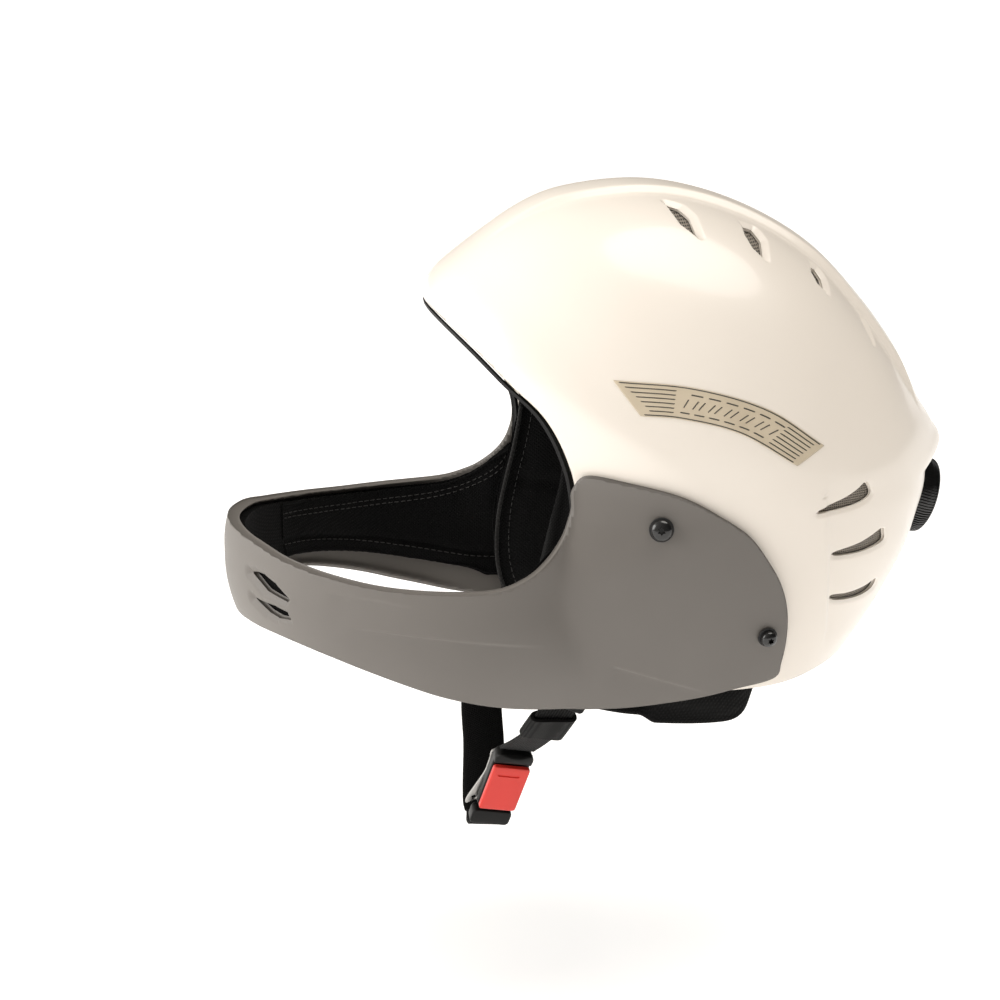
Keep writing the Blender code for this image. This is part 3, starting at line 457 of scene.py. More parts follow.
    def pole_rows(self, raw):
        if not self.poles:
            return np.zeros(len(raw), bool)
        return (raw[:, 1] == 0) | (raw[:, 1] == self.nv * self.k)

    def param(self, p, axis):
        values = (self.us, self.vs)[axis]
        return float(np.interp(p[axis] / self.k, np.arange(len(values)), values))

    @staticmethod
    def without_repeats(face):
        return [p for i, p in enumerate(face) if p != face[i - 1]]

    def borders(self):
        used = set()
        for face in self.faces:
            used.update(zip(face, face[1:] + face[:1]))
        after = {}
        for a, b in used:
            if (b, a) not in used:
                after.setdefault(a, []).append(b)
        loops = []
        while after:
            start = next(iter(after))
            loop, at = [], start
            while True:
                loop.append(at)
                nexts = after.get(at)
                if not nexts:
                    break
                b = nexts.pop()
                if not nexts:
                    del after[at]
                at = b
                if at == start:
                    break
            if len(loop) > 2:
                loops.append(loop)
        return loops


def normals_of(form, u, v, du, dv):
    across = form(u + du, v) - form(u - du, v)
    along = form(u, v + dv) - form(u, v - dv)
    n = np.cross(across, along)
    length = np.linalg.norm(n, axis=1, keepdims=True)
    return n / np.maximum(length, 1e-9)


def walled(name, grid, outer, inner, edge, steps=4, inner_edge=None, lined=False):
    """A closed wall between two faces over one grid. Its border bulges out in a rounded rim.

    A lined wall's inner face takes the object's second material.
    """
    top, under = outer(grid.u, grid.v), inner(grid.u, grid.v)
    n = len(top)
    points = [top, under]
    faces = ([tuple(face) for face in grid.faces]
             + [tuple(n + i for i in reversed(face)) for face in grid.faces])
    count = 2 * n
    for loop in grid.loops:
        loop = np.array(loop)
        o, i = top[loop], under[loop]
        deep = np.maximum(np.linalg.norm(i - o, axis=1, keepdims=True), 1e-6)
        mid = (o + i) / 2
        tangent = np.roll(mid, -1, 0) - np.roll(mid, 1, 0)
        out = unit(np.cross(tangent, o - i) + 1e-12)
        first = np.minimum(edge, deep * 0.5)
        last = np.minimum(inner_edge if inner_edge is not None else edge, deep * 0.5)
        rings = [loop]
        for q in range(1, steps + 1):
            t = math.pi / 2 * q / steps
            rings.append(o + (i - o) * first * (1 - math.cos(t)) / deep + out * first * math.sin(t))
        for q in range(steps, 0, -1):
            t = math.pi / 2 * q / steps
            p = i + (o - i) * last * (1 - math.cos(t)) / deep + out * (last * math.sin(t) + (first - last))
            rings.append(p)
        rings.append(loop + n)
        ids = []
        for ring in rings:
            if ring.ndim == 1:
                ids.append(ring)
                continue
            points.append(ring)
            ids.append(np.arange(count, count + len(ring)))
            count += len(ring)
        m = len(loop)
        for a, b in zip(ids, ids[1:]):
            for q in range(m):
                w = (q + 1) % m
                faces.append((int(a[w]), int(a[q]), int(b[q]), int(b[w])))
    obj = make(name, np.concatenate(points), faces)
    if lined:
        own = len(grid.faces)
        for face in obj.data.polygons[own:2 * own]:
            face.material_index = 1
    return obj


# ---- meshes ----

def make(name, points, faces, smooth=True, sharp=None):
    mesh = bpy.data.meshes.new(name)
    mesh.from_pydata((np.asarray(points, float) * MM).tolist(), [], faces)
    mesh.validate()
    obj = bpy.data.objects.new(name, mesh)
    bpy.context.scene.collection.objects.link(obj)
    face_outward(obj)
    if smooth:
        mesh.shade_smooth()
    if sharp:
        sharpen(obj, sharp)
    return obj


def face_outward(obj):
    work = bmesh.new()
    work.from_mesh(obj.data)
    if work.calc_volume(signed=True) < 0:
        bmesh.ops.reverse_faces(work, faces=work.faces)
    work.to_mesh(obj.data)
    work.free()


def sharpen(obj, degrees):
    obj.data.shade_smooth()
    work = bmesh.new()
    work.from_mesh(obj.data)
    for e in work.edges:
        e.smooth = not (len(e.link_faces) != 2 or e.calc_face_angle(0) > math.radians(degrees))
    work.to_mesh(obj.data)
    work.free()


def apply_modifiers(obj):
    graph = bpy.context.evaluated_depsgraph_get()
    shaped = bpy.data.meshes.new_from_object(obj.evaluated_get(graph))
    obj.modifiers.clear()
    old = obj.data
    obj.data = shaped
    bpy.data.meshes.remove(old)
    return obj


def bevel(obj, width, segments=3, angle=35):
    m = obj.modifiers.new("edges", "BEVEL")
    m.width, m.segments, m.limit_method, m.angle_limit = width * MM, segments, "ANGLE", math.radians(angle)
    m.use_clamp_overlap = True
    apply_modifiers(obj)
    sharpen(obj, 50)
    return obj


def tidy(obj):
    work = bmesh.new()
    work.from_mesh(obj.data)
    bmesh.ops.remove_doubles(work, verts=work.verts, dist=1e-6)
    bmesh.ops.dissolve_degenerate(work, edges=work.edges, dist=1e-6)
    work.to_mesh(obj.data)
    work.free()


def cut(obj, cutters):
    for other in cutters:
        tidy(obj)
        m = obj.modifiers.new("cut", "BOOLEAN")
        m.operation, m.solver, m.object = "DIFFERENCE", "EXACT", other
        apply_modifiers(obj)
        bpy.data.objects.remove(other, do_unlink=True)
    tidy(obj)
    return obj


def prism(name, outline, low, high, to_space):
    n = len(outline)
    points = [to_space(u, v, low) for u, v in outline] + [to_space(u, v, high) for u, v in outline]
    faces = [tuple(range(n)), tuple(range(2 * n - 1, n - 1, -1))]
    faces += [(i, n + i, n + (i + 1) % n, (i + 1) % n) for i in range(n)]
    return make(name, points, faces, smooth=False)


def frame_of(axis, along=(0, 0, 1)):
    w = unit(axis)
    u = unit(np.cross(along, w))
    return u, np.cross(w, u), w


def soft_corner(a, b, k, steps=5):
    """A rectangle's outline, a by b from its middle, with round corners of radius k."""
    found = []
    for cx, cy, start in ((a - k, -b + k, -90), (a - k, b - k, 0), (-a + k, b - k, 90), (-a + k, -b + k, 180)):
        for i in range(steps + 1):
            t = math.radians(start + 90 * i / steps)
            found.append((cx + k * math.cos(t), cy + k * math.sin(t)))
    return found


def block(name, at, size, axes, corner=1.0):
    u, v, w = axes
    a, b, c = (s / 2 for s in size)
    return prism(name, soft_corner(a, b, corner), -c, c, lambda p, q, r: np.array(at) + p * u + q * v + r * w)


def lathe(name, at, axis, profile, sides, along=(0, 0, 1), wave=None, sharp=35):
    u, v, w = frame_of(axis, along)
    at = np.array(at, float)
    ring = profile[0] == profile[-1]
    outline = profile[:-1] if ring else profile
    points, index = [], []
    for r, h in outline:
        if r == 0:
            index.append([len(points)] * sides)
            points.append(at + h * w)
            continue
        index.append(list(range(len(points), len(points) + sides)))
        for k in range(sides):
            t = 2 * math.pi * k / sides
            rr = r + (wave(t, r, h) if wave else 0)
            points.append(at + rr * math.cos(t) * u + rr * math.sin(t) * v + h * w)
    faces = []
    for low, high in zip(index, index[1:] + index[:1] if ring else index[1:]):
        for k in range(sides):
            j = (k + 1) % sides
            face = Grid.without_repeats([low[k], low[j], high[j], high[k]])
            if len(face) > 2:
                faces.append(tuple(face))
    return make(name, points, faces, sharp=sharp)


def arc(cx, cy, r, start, end, steps=6):
    return [(cx + r * math.cos(math.radians(start + (end - start) * i / steps)),
             cy + r * math.sin(math.radians(start + (end - start) * i / steps))) for i in range(steps + 1)]


def ribbon(name, path, section, across=(1, 0, 0), scale=None):
    """A strap along a path. section is a closed outline of (across, out); UVs run in millimetres."""
    path = np.array(path, float)
    n, m = len(path), len(section)
    ahead = unit(np.gradient(path, axis=0))
    side = np.broadcast_to(np.array(across, float), path.shape)
    side = unit(side - (side * ahead).sum(1, keepdims=True) * ahead)
    out = np.cross(ahead, side)
    section = np.array(section, float)
    points = []
    for i in range(n):
        k = scale(i / (n - 1)) if scale else (1, 1)
        points += [path[i] + a * k[0] * side[i] + b * k[1] * out[i] for a, b in section]
    faces = [tuple(range(m)), tuple(range(n * m - 1, (n - 1) * m - 1, -1))]
    faces += [(i * m + k, (i + 1) * m + k, (i + 1) * m + (k + 1) % m, i * m + (k + 1) % m)
              for i in range(n - 1) for k in range(m)]
    obj = make(name, points, faces, sharp=60)
    gone = np.concatenate([[0], np.cumsum(np.linalg.norm(np.diff(path, axis=0), axis=1))])
    layer = obj.data.uv_layers.new(name="along")
    for loop in obj.data.loops:
        i, k = divmod(loop.vertex_index, m)
        layer.data[loop.index].uv = (section[k][0], gone[i])
    return obj


def tube(name, points, radius, sides=8, closed=False):
    """A round cord along points, for welts and piping."""
    path = np.array(points, float)
    n = len(path)
    ahead = unit((np.roll(path, -1, 0) - np.roll(path, 1, 0)) if closed else np.gradient(path, axis=0))
    up = np.array((0.31, 0.2, 0.93))
    found = []
    for p, w in zip(path, ahead):
        u = unit(np.cross(up, w))
        v = np.cross(w, u)
        up = v if abs(v.dot(up)) > 0.2 else up
        for k in range(sides):
            t = 2 * math.pi * k / sides
            found.append(p + radius * (math.cos(t) * u + math.sin(t) * v))
    faces = []
    for i in range(n if closed else n - 1):
        for k in range(sides):
            a, b = i * sides, ((i + 1) % n) * sides
            faces.append((a + k, b + k, b + (k + 1) % sides, a + (k + 1) % sides))
    if not closed:
        faces += [tuple(range(sides)), tuple(range(n * sides - 1, (n - 1) * sides - 1, -1))]
    return make(name, found, faces)


def join(name, objects):
    """One object from several, keeping their meshes."""
    work = bmesh.new()
    for o in objects:
        work.from_mesh(o.data)
    mesh = bpy.data.meshes.new(name)
    work.to_mesh(mesh)
    work.free()
    for o in objects:
        bpy.data.objects.remove(o, do_unlink=True)
    obj = bpy.data.objects.new(name, mesh)
    bpy.context.scene.collection.objects.link(obj)
    return obj


# ---- materials ----

def tree_of(name, colour, rough, metal=0.0, **sockets):
    material = bpy.data.materials.new(name)
    material.use_nodes = True
    nodes, links = material.node_tree.nodes, material.node_tree.links
    shader = nodes["Principled BSDF"]
    shader.inputs["Base Color"].default_value = (*colour, 1)
    shader.inputs["Roughness"].default_value = rough
    shader.inputs["Metallic"].default_value = metal
    for socket, value in sockets.items():
        shader.inputs[socket.replace("_", " ")].default_value = value
    return material, nodes, links, shader


def noise(nodes, links, scale, detail=4.0, coords=None, stretch=None):
    place = nodes.new("ShaderNodeTexCoord")
    source = coords or place.outputs["Object"]
    if stretch:
        mapping = nodes.new("ShaderNodeMapping")
        mapping.inputs["Scale"].default_value = stretch
        links.new(source, mapping.inputs["Vector"])
        source = mapping.outputs["Vector"]
    texture = nodes.new("ShaderNodeTexNoise")
    texture.inputs["Scale"].default_value = scale
    texture.inputs["Detail"].default_value = detail
    links.new(source, texture.inputs["Vector"])
    return texture.outputs["Fac"]


def ramp(nodes, links, value, low, high, at=(0.3, 0.7)):
    node = nodes.new("ShaderNodeValToRGB")
    for element, colour, place in zip(node.color_ramp.elements, (low, high), at):
        element.color, element.position = (*colour, 1), place
    links.new(value, node.inputs["Fac"])
    return node.outputs["Color"]


def spread(nodes, links, value, low, high, start=0.0, end=1.0):
    node = nodes.new("ShaderNodeMapRange")
    node.inputs["From Min"].default_value, node.inputs["From Max"].default_value = start, end
    node.inputs["To Min"].default_value, node.inputs["To Max"].default_value = low, high
    links.new(value, node.inputs["Value"])
    return node.outputs["Result"]


def bump(nodes, links, shader, height, distance, strength=1.0, under=None):
    node = nodes.new("ShaderNodeBump")
    node.inputs["Distance"].default_value = distance * MM
    node.inputs["Strength"].default_value = strength
    links.new(height, node.inputs["Height"])
    if under:
        links.new(under, node.inputs["Normal"])
    links.new(node.outputs["Normal"], shader.inputs["Normal"])
    return node.outputs["Normal"]


def plastic(name, light, dark, rough, grain, depth, patch=18, metal=0.0, **sockets):
    """Moulded plastic, rubber or plain metal: drifting colour, uneven gloss, surface grain."""
    material, nodes, links, shader = tree_of(name, light, rough[0], metal, **sockets)
    links.new(ramp(nodes, links, noise(nodes, links, patch, 5), dark, light), shader.inputs["Base Color"])
    links.new(spread(nodes, links, noise(nodes, links, patch * 5, 6), *rough), shader.inputs["Roughness"])
    fine = bump(nodes, links, shader, noise(nodes, links, grain, 3), depth)
    bump(nodes, links, shader, noise(nodes, links, grain / 12, 2), depth * 3, 0.5, fine)
    return material


def waves(nodes, links, coords, scale, direction="X", kind="BANDS"):
    node = nodes.new("ShaderNodeTexWave")
    node.wave_type = kind
    if kind == "BANDS":
        node.bands_direction = direction
    node.inputs["Scale"].default_value = scale
    node.inputs["Distortion"].default_value = 0.4
    node.inputs["Detail Scale"].default_value = 2
    links.new(coords, node.inputs["Vector"])
    return node.outputs["Fac"]


def maths(nodes, links, operation, a, b):
    node = nodes.new("ShaderNodeMath")
    node.operation = operation
    for socket, value in zip(node.inputs, (a, b)):
        if isinstance(value, (int, float)):
            socket.default_value = value
        else:
            links.new(value, socket)
    return node.outputs["Value"]


def cloth(name, light, dark, thread, depth, rough=(0.8, 0.97), sheen=0.25):
    """A knitted or woven cloth: two crossing sets of threads through the whole solid, so no UVs are needed."""
    material, nodes, links, shader = tree_of(name, light, rough[0], Sheen_Weight=sheen, Sheen_Roughness=0.5,
                                             Specular_IOR_Level=0.1)
    place = nodes.new("ShaderNodeTexCoord")
    a = waves(nodes, links, place.outputs["Object"], thread, "DIAGONAL")
    turned = nodes.new("ShaderNodeMapping")
    turned.inputs["Scale"].default_value = (1, -1, -1)
    links.new(place.outputs["Object"], turned.inputs["Vector"])
    b = waves(nodes, links, turned.outputs["Vector"], thread, "DIAGONAL")
    weave = maths(nodes, links, "MULTIPLY", a, b)
    drift = noise(nodes, links, 40, 5)
    mixed = maths(nodes, links, "ADD", maths(nodes, links, "MULTIPLY", weave, 0.45),
                  maths(nodes, links, "MULTIPLY", drift, 0.75))
    links.new(ramp(nodes, links, mixed, dark, light, (0.25, 0.75)), shader.inputs["Base Color"])
    links.new(spread(nodes, links, drift, *rough), shader.inputs["Roughness"])
    fine = bump(nodes, links, shader, weave, depth)
    bump(nodes, links, shader, noise(nodes, links, 60, 4), 0.35, 0.5, fine)
    return material


def webbing(name, light, dark):
    """Ribbed strap: UVs are in millimetres, across and along."""
    material, nodes, links, shader = tree_of(name, light, 0.8, Sheen_Weight=0.06, Specular_IOR_Level=0.15)
    place = nodes.new("ShaderNodeTexCoord")
    ribs = waves(nodes, links, place.outputs["UV"], 0.33, "Y")
    warp = waves(nodes, links, place.outputs["UV"], 0.21, "X")
    weave = maths(nodes, links, "MULTIPLY", ribs, warp)
    drift = noise(nodes, links, 80, 4)
    mixed = maths(nodes, links, "ADD", maths(nodes, links, "MULTIPLY", weave, 0.6),
                  maths(nodes, links, "MULTIPLY", drift, 0.5))
    links.new(ramp(nodes, links, mixed, dark, light, (0.2, 0.8)), shader.inputs["Base Color"])
    links.new(spread(nodes, links, weave, 0.9, 0.65), shader.inputs["Roughness"])
    bump(nodes, links, shader, weave, 0.35)
    return material


def screen(name):
    """Fine woven vent mesh: thread grid in object space."""
    material, nodes, links, shader = tree_of(name, (0.2, 0.18, 0.15), 0.6)
    place = nodes.new("ShaderNodeTexCoord")
    a = waves(nodes, links, place.outputs["Object"], 260, "X")
    b = waves(nodes, links, place.outputs["Object"], 260, "Z")
    weave = maths(nodes, links, "MAXIMUM", a, b)
    links.new(ramp(nodes, links, weave, (0.03, 0.026, 0.022), (0.34, 0.30, 0.25), (0.45, 0.9)),
              shader.inputs["Base Color"])
    links.new(spread(nodes, links, noise(nodes, links, 90), 0.45, 0.75), shader.inputs["Roughness"])
    bump(nodes, links, shader, weave, 0.4)
    return material


MAT = {
    "shell": plastic("shell_gloss", (0.89, 0.825, 0.745), (0.87, 0.80, 0.715), (0.28, 0.38), 420, 0.012, 6,
                     Coat_Weight=0.35, Coat_Roughness=0.08),
    "inside": plastic("shell_inside", (0.05, 0.048, 0.045), (0.035, 0.034, 0.032), (0.55, 0.75), 900, 0.03),
    "guard": plastic("guard_satin", (0.160, 0.146, 0.131), (0.142, 0.129, 0.116), (0.42, 0.55), 1500, 0.02, 9),
    "trim": plastic("trim_rubber", (0.012, 0.0115, 0.011), (0.007, 0.007, 0.007), (0.5, 0.7), 700, 0.05,
                    Specular_IOR_Level=0.3),
    "foam": plastic("liner_foam", (0.016, 0.016, 0.017), (0.009, 0.009, 0.010), (0.8, 0.95), 260, 0.5),
    "pad": cloth("pad_knit", (0.0042, 0.004, 0.0038), (0.0018, 0.0018, 0.0018), 300, 0.28, sheen=0.02),
    "lining": cloth("pad_lining", (0.022, 0.021, 0.020), (0.010, 0.0095, 0.009), 220, 0.2, (0.6, 0.8), 0.08),
    "stitch": plastic("stitch_thread", (0.030, 0.028, 0.026), (0.018, 0.017, 0.016), (0.6, 0.8), 1800, 0.05),
    "mesh": screen("vent_screen"),
    "black": plastic("black_plastic", (0.0055, 0.0053, 0.005), (0.003, 0.003, 0.003), (0.32, 0.48), 1300, 0.02,
                     Specular_IOR_Level=0.2),
    "gloss": plastic("black_gloss", (0.008, 0.008, 0.008), (0.004, 0.004, 0.004), (0.12, 0.22), 700, 0.01,
                     Coat_Weight=0.3, Coat_Roughness=0.08),
    "screw": plastic("screw_black", (0.008, 0.008, 0.008), (0.004, 0.004, 0.004), (0.15, 0.28), 900, 0.01,
                     Coat_Weight=0.3, Coat_Roughness=0.1),
    "rubber": plastic("washer_rubber", (0.010, 0.010, 0.010), (0.006, 0.006, 0.006), (0.6, 0.8), 900, 0.04),
    "steel": plastic("brushed_steel", (0.50, 0.49, 0.47), (0.38, 0.37, 0.355), (0.28, 0.45), 500, 0.02, 60, 1.0),
    "zinc": plastic("dark_zinc", (0.10, 0.098, 0.094), (0.06, 0.058, 0.055), (0.4, 0.55), 500, 0.02, 60, 0.6),
    "web": webbing("strap_web", (0.010, 0.0095, 0.009), (0.0025, 0.0025, 0.0025)),
    "red": plastic("red_plastic", (0.70, 0.034, 0.022), (0.63, 0.028, 0.018), (0.3, 0.42), 1100, 0.02),
    "nylon": plastic("white_nylon", (0.62, 0.61, 0.58), (0.5, 0.49, 0.46), (0.4, 0.6), 900, 0.03),
    "band": plastic("band_print", (0.62, 0.53, 0.40), (0.55, 0.465, 0.34), (0.28, 0.42), 1200, 0.01, 60),
    "ink": plastic("band_ink", (0.07, 0.062, 0.045), (0.045, 0.04, 0.03), (0.35, 0.5), 1200, 0.01, 60),
}


def dress(obj, material, body="helmet", replaced=(), lining=None):
    indices = [face.material_index for face in obj.data.polygons] if lining else []
    obj.data.materials.clear()
    obj.data.materials.append(MAT[material])
    if lining:
        obj.data.materials.append(MAT[lining])
        obj.data.polygons.foreach_set("material_index", indices)
    if body:
        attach(obj, body)
    if replaced:
        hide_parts(*replaced)
    return obj


# ---- shell ----

PANEL = [(78, -112), (80, -128), (82.5, -158), (86, -188)]
SHELL_REGION = region_above(SHELL_EDGE)
REAR_OUTLINES = [rounded(v, 6) for v in REAR_VENTS]
TOP_OUTLINES = [[(a * DEGREE, y) for a, y in v] for v in TOP_VENTS]


def rear_vent_gap(p):
    gap = np.full(len(p), 1e3)
    for outline in REAR_OUTLINES:
        gap = np.minimum(gap, distance_to(p[:, 0], p[:, 2], outline)[0])
    return gap


def top_vent_gap(angle, y):
    gap = np.full(angle.shape, 1e3)
    for outline in TOP_OUTLINES:
        gap = np.minimum(gap, distance_to(angle * DEGREE, np.abs(y), outline)[0])
    return gap


def shell_relief(angle, p):
    """How far the shell's face is pressed in: scoops beside the vents, the rear panel."""
    deep = np.zeros(len(p))
    for outline in TOP_OUTLINES:
        d, away = distance_to(angle * DEGREE, np.abs(p[:, 1]), outline)
        # The scoop opens towards the middle and the back.
        turn = ease(0.5 + 0.5 * (-0.8 * away[:, 0] - 0.6 * away[:, 1]))
        width = 0.7 + 4.2 * turn
        deep = np.maximum(deep, (0.5 + 1.7 * turn) * (1 - np.clip(d / width, 0, 1)))
    x, z = p[:, 0], p[:, 2]
    d, side, _ = distance_to_line(x, z, PANEL)
    behind = ease((side * d + 0.4) / 3.0) * (x > 60)
    fade = (ease((135 - x) / 30) * ease((-100 - z) / 14) * ease((z + 202) / 26)
            * ease((np.abs(p[:, 1]) - 30) / 25))
    deep += 1.3 * behind * fade
    for outline in REAR_OUTLINES:
        d, away = distance_to(x, z, outline)
        turn = ease(0.5 + 0.5 * (0.3 * away[:, 0] - 0.95 * away[:, 1]))
        deep += (0.35 + 0.6 * turn) * (1 - ease(d / (1.2 + 2.2 * turn)))
    return deep


def build_shell():
    edge = 0.9

    def keep(u, v):
        p = shell_form(u, v)
        f = -distance_to(p[:, 0], p[:, 2], SHELL_REGION)[0]
        f = np.minimum(f, rear_vent_gap(p) * np.where(p[:, 0] > 60, 1, 9))
        return np.minimum(f, top_vent_gap(u % 360, p[:, 1])) - edge * 0.6

    def level(u, v):
        p = shell_form(u, v)
        found = np.zeros(len(u))
        a = (u + 180) % 360 - 180
        half = 13 + 22 * ease((100 - a) / 60)
        found[(a > 12) & (a < 138) & (np.abs(np.abs(p[:, 1]) - half - 2.2) < 5)] = 1
        found[(a > -2) & (a < 14) & (np.abs(p[:, 1]) < 78)] = 1
        found[np.abs(distance_to(p[:, 0], p[:, 2], SHELL_REGION)[0]) < 4] = 1
        found[(distance_to_line(p[:, 0], p[:, 2], PANEL)[0] < 6)] = 1
        found[(rear_vent_gap(p) < 7) & (p[:, 0] > 60)] = 2
        found[top_vent_gap(u % 360, p[:, 1]) < 8] = 2
        found[top_vent_gap(u % 360, p[:, 1]) < 3] = 3
        return found

    us = np.arange(-60, 300.01, 1.25)
    vs = np.concatenate([np.arange(-90, -66, 2.4), np.arange(-66, 66.1, 1.1), np.arange(68.4, 90.1, 2.4)])
    vs[-1] = 90
    grid = Grid(us, vs, keep, level, ring=True, poles=True)

    def outer(u, v):
        p = shell_form(u, v)
        return p - shell_relief(u % 360, p)[:, None] * normals_of(shell_form, u, v, 0.2, 0.2) * NORMAL_SIGN

    def inner(u, v):
        p = shell_form(u, v, plain=True)
        plain = lambda a, b: shell_form(a, b, plain=True)
        return p - SHELL_WALL * normals_of(plain, u, v, 0.2, 0.2) * NORMAL_SIGN

    shell = walled("shell_moulding", grid, outer, inner, edge, 4, lined=True)
    dress(shell, "shell", replaced=["outer_shell"], lining="inside")


# The forms' own normals, from the two parameters, point outward with this sign.
probe_normal = normals_of(shell_form, np.array([90.0]), np.array([10.0]), 0.2, 0.2)
NORMAL_SIGN = 1.0 if probe_normal[0][2] > 0 else -1.0


def build_edge_bead():
    region = np.array(SHELL_REGION)

    def keep(u, v):
        p = shell_form(u, v, 1.4)
        f = distance_to(p[:, 0], p[:, 2], region)[0]
        band = np.minimum(f - 0.55, 2.15 - f)
        return np.minimum(band, (p[:, 2] + 206) * 0.5)

    def level(u, v):
        p = shell_form(u, v, 1.4)
        f = distance_to(p[:, 0], p[:, 2], region)[0]
        return np.where(np.abs(f - 1.3) < 3.5, 3, 0)

    us = np.arange(60, 300.01, 1.6)
    vs = np.arange(-89, 89.1, 1.5)
    grid = Grid(us, vs, keep, level, ring=False, poles=False)
    outer = lambda u, v: shell_form(u, v, 0.1)
    inner = lambda u, v: shell_form(u, v, SHELL_WALL, True)
    bead = walled("edge_bead", grid, outer, inner, 0.55, 3)
    dress(bead, "trim", replaced=["edge_trim"])


def build_screens():
    for side, hand in SIDES:
        grid = Grid(np.arange(44, 104.1, 2), side * np.arange(26, 66.1, 2)[::side],
                    lambda u, v: np.full(u.shape, 99.0), lambda u, v: np.zeros(u.shape), 0)
        form = lambda d: lambda u, v: shell_form(u, lift_at(v, d), d, True)
        dress(walled(f"crown_screen_{hand}", grid, form(3.7), form(4.5), 0.2, 2), "mesh",
              replaced=[f"top_mesh_{hand}"])
        grid = Grid(np.arange(71, 119.1, 2), np.arange(-177, -100.9, 2),
                    lambda u, v: np.full(u.shape, 99.0), lambda u, v: np.zeros(u.shape), 0)
        flat = lambda d: lambda u, v: np.stack([u, side * shell_y(u, v, d), v], -1)
        dress(walled(f"nape_screen_{hand}", grid, flat(3.6), flat(4.4), 0.2, 2), "mesh",
              replaced=[f"rear_mesh_{hand}"])


def build_liner():
    region = region_above(FOAM_EDGE)
    window = lambda p: (np.maximum(np.abs(p[:, 1]) - 54, np.abs(p[:, 2] - DIAL_Z + 4) - 22)
                        * np.where(p[:, 0] > 90, 1, 9))

    def keep(u, v):
        p = shell_form(u, v, 10, True)
        f = -distance_to(p[:, 0], p[:, 2], region)[0]
        return np.minimum(f, np.where(p[:, 0] > 90, window(p), 99)) - 3

    def channels(u, v):
        """Air channels pressed into the inner face, front to back."""
        p = shell_form(u, v, 25, True)
        a = (u + 180) % 360 - 180
        deep = np.zeros(len(u))
        for at in (-52, -26, 0, 26, 52):
            deep += 3.0 * (1 - ease((np.abs(p[:, 1] - at) - 3) / 4))
        return deep * ease((a - 30) / 12) * ease((135 - a) / 8)

    us, vs = (np.arange(-60, 300.01, 3),
              np.concatenate([np.arange(-90, -69, 4), np.arange(-69, 69.1, 2.3), np.arange(73, 91, 4)]))
    vs[0], vs[-1] = -90, 90
    grid = Grid(us, vs, keep, lambda u, v: np.zeros(u.shape), 1, ring=True, poles=True)

    def inner(u, v):
        depth = 25 - channels(u, v)
        return shell_form_depths(u, v, depth)

    liner = walled("liner_foam", grid, lambda u, v: shell_form(u, v, 4.9, True), inner, 3.0, 4)
    dress(liner, "foam", replaced=["foam_liner"])


def shell_form_depths(u, v, depth):
    return shell_form(u, v, depth, True)


# ---- chin guard ----

CREASES = [
    ([(-166, -171.5), (-143, -172.5), (-117, -174.2), (-88, -177.6), (-58, -182)], 1.3),
    ([(-172, -154.5), (-162, -155), (-146, -155.8), (-126, -158)], 0.6),
    ([(-30, -194), (-22, -197.2), (0, -204.8), (26, -214)], 1.2),
]
GUARD_REGION = rounded(GUARD_OUTLINE, 6)


def slot_gap(p):
    gap = np.full(len(p), 1e3)
    for outline in SLOTS:
        gap = np.minimum(gap, distance_to(np.abs(p[:, 1]), p[:, 2], outline)[0])
    return gap + np.where(p[:, 0] > -130, 1e3, 0)


def guard_relief(p):
    deep = np.zeros(len(p))
    x, z = p[:, 0], p[:, 2]
    for line, amount in CREASES:
        d, side, along = distance_to_line(x, z, rounded(line, 5, closed=False))
        below = ease((side * -d + 0.2) / 1.8) * (1 - 0.75 * ease(d / 24))
        deep += amount * below * (side < 0.5) * ease(along / 0.3) * ease((1 - along) / 0.35) * (p[:, 0] > -185)
    ahead = x < -150
    for outline in SLOTS:
        d, away = distance_to(np.abs(p[:, 1]), z, outline)
        turn = ease(0.5 - 0.5 * away[:, 0])
        deep += np.where(ahead, (0.5 + 1.6 * turn) * (1 - ease(d / (1.4 + 4.6 * turn))), 0)
    return deep


def build_guard():
    edge = 0.9

    def keep(u, z):
        p = guard_form(u, z)
        return np.minimum(-distance_to(p[:, 0], p[:, 2], GUARD_REGION)[0] - edge, slot_gap(p) - 0.5)

    def level(u, z):
        p = guard_form(u, z)
        found = np.zeros(len(u))
        found[np.abs(distance_to(p[:, 0], p[:, 2], GUARD_REGION)[0]) < 6] = 1
        for line, _ in CREASES:
            found[distance_to_line(p[:, 0], p[:, 2], rounded(line, 4, closed=False))[0] < 6] = 2
        found[slot_gap(p) < 8] = 2
        found[slot_gap(p) < 3] = 3
        return found

    half = np.concatenate([np.linspace(0, 1, 54)[:-1], 1 + np.linspace(0, 1, 62)])
    us = np.concatenate([half - 2, (2 - half)[::-1][1:]])
    grid = Grid(us, np.arange(-226, -89.9, 2.6), keep, level)
    normal = lambda u, z: normals_of(guard_form, u, z, 0.004, 0.4) * GUARD_SIGN

    def outer(u, z):
        p = guard_form(u, z)
        return p - guard_relief(p)[:, None] * normal(u, z)

    def inner(u, z):
        p = guard_form(u, z)
        wall = guard_wall(p[:, 0])
        # The bar's rim is turned in, so its edge looks thicker than the wall.
        rim = -distance_to(p[:, 0], p[:, 2], GUARD_REGION)[0]
        wall = wall + 1.9 * ease((-70 - p[:, 0]) / 40) * (1 - ease((rim - 1.5) / 3.5))
        return p - wall[:, None] * normal(u, z)

    guard = walled("guard_moulding", grid, outer, inner, edge, 5, 1.1)
    dress(guard, "guard", replaced=["chin_guard"])


side_probe = normals_of(guard_form, np.array([-1.2]), np.array([-170.0]), 0.004, 0.4)
GUARD_SIGN = 1.0 if side_probe[0][1] < 0 else -1.0


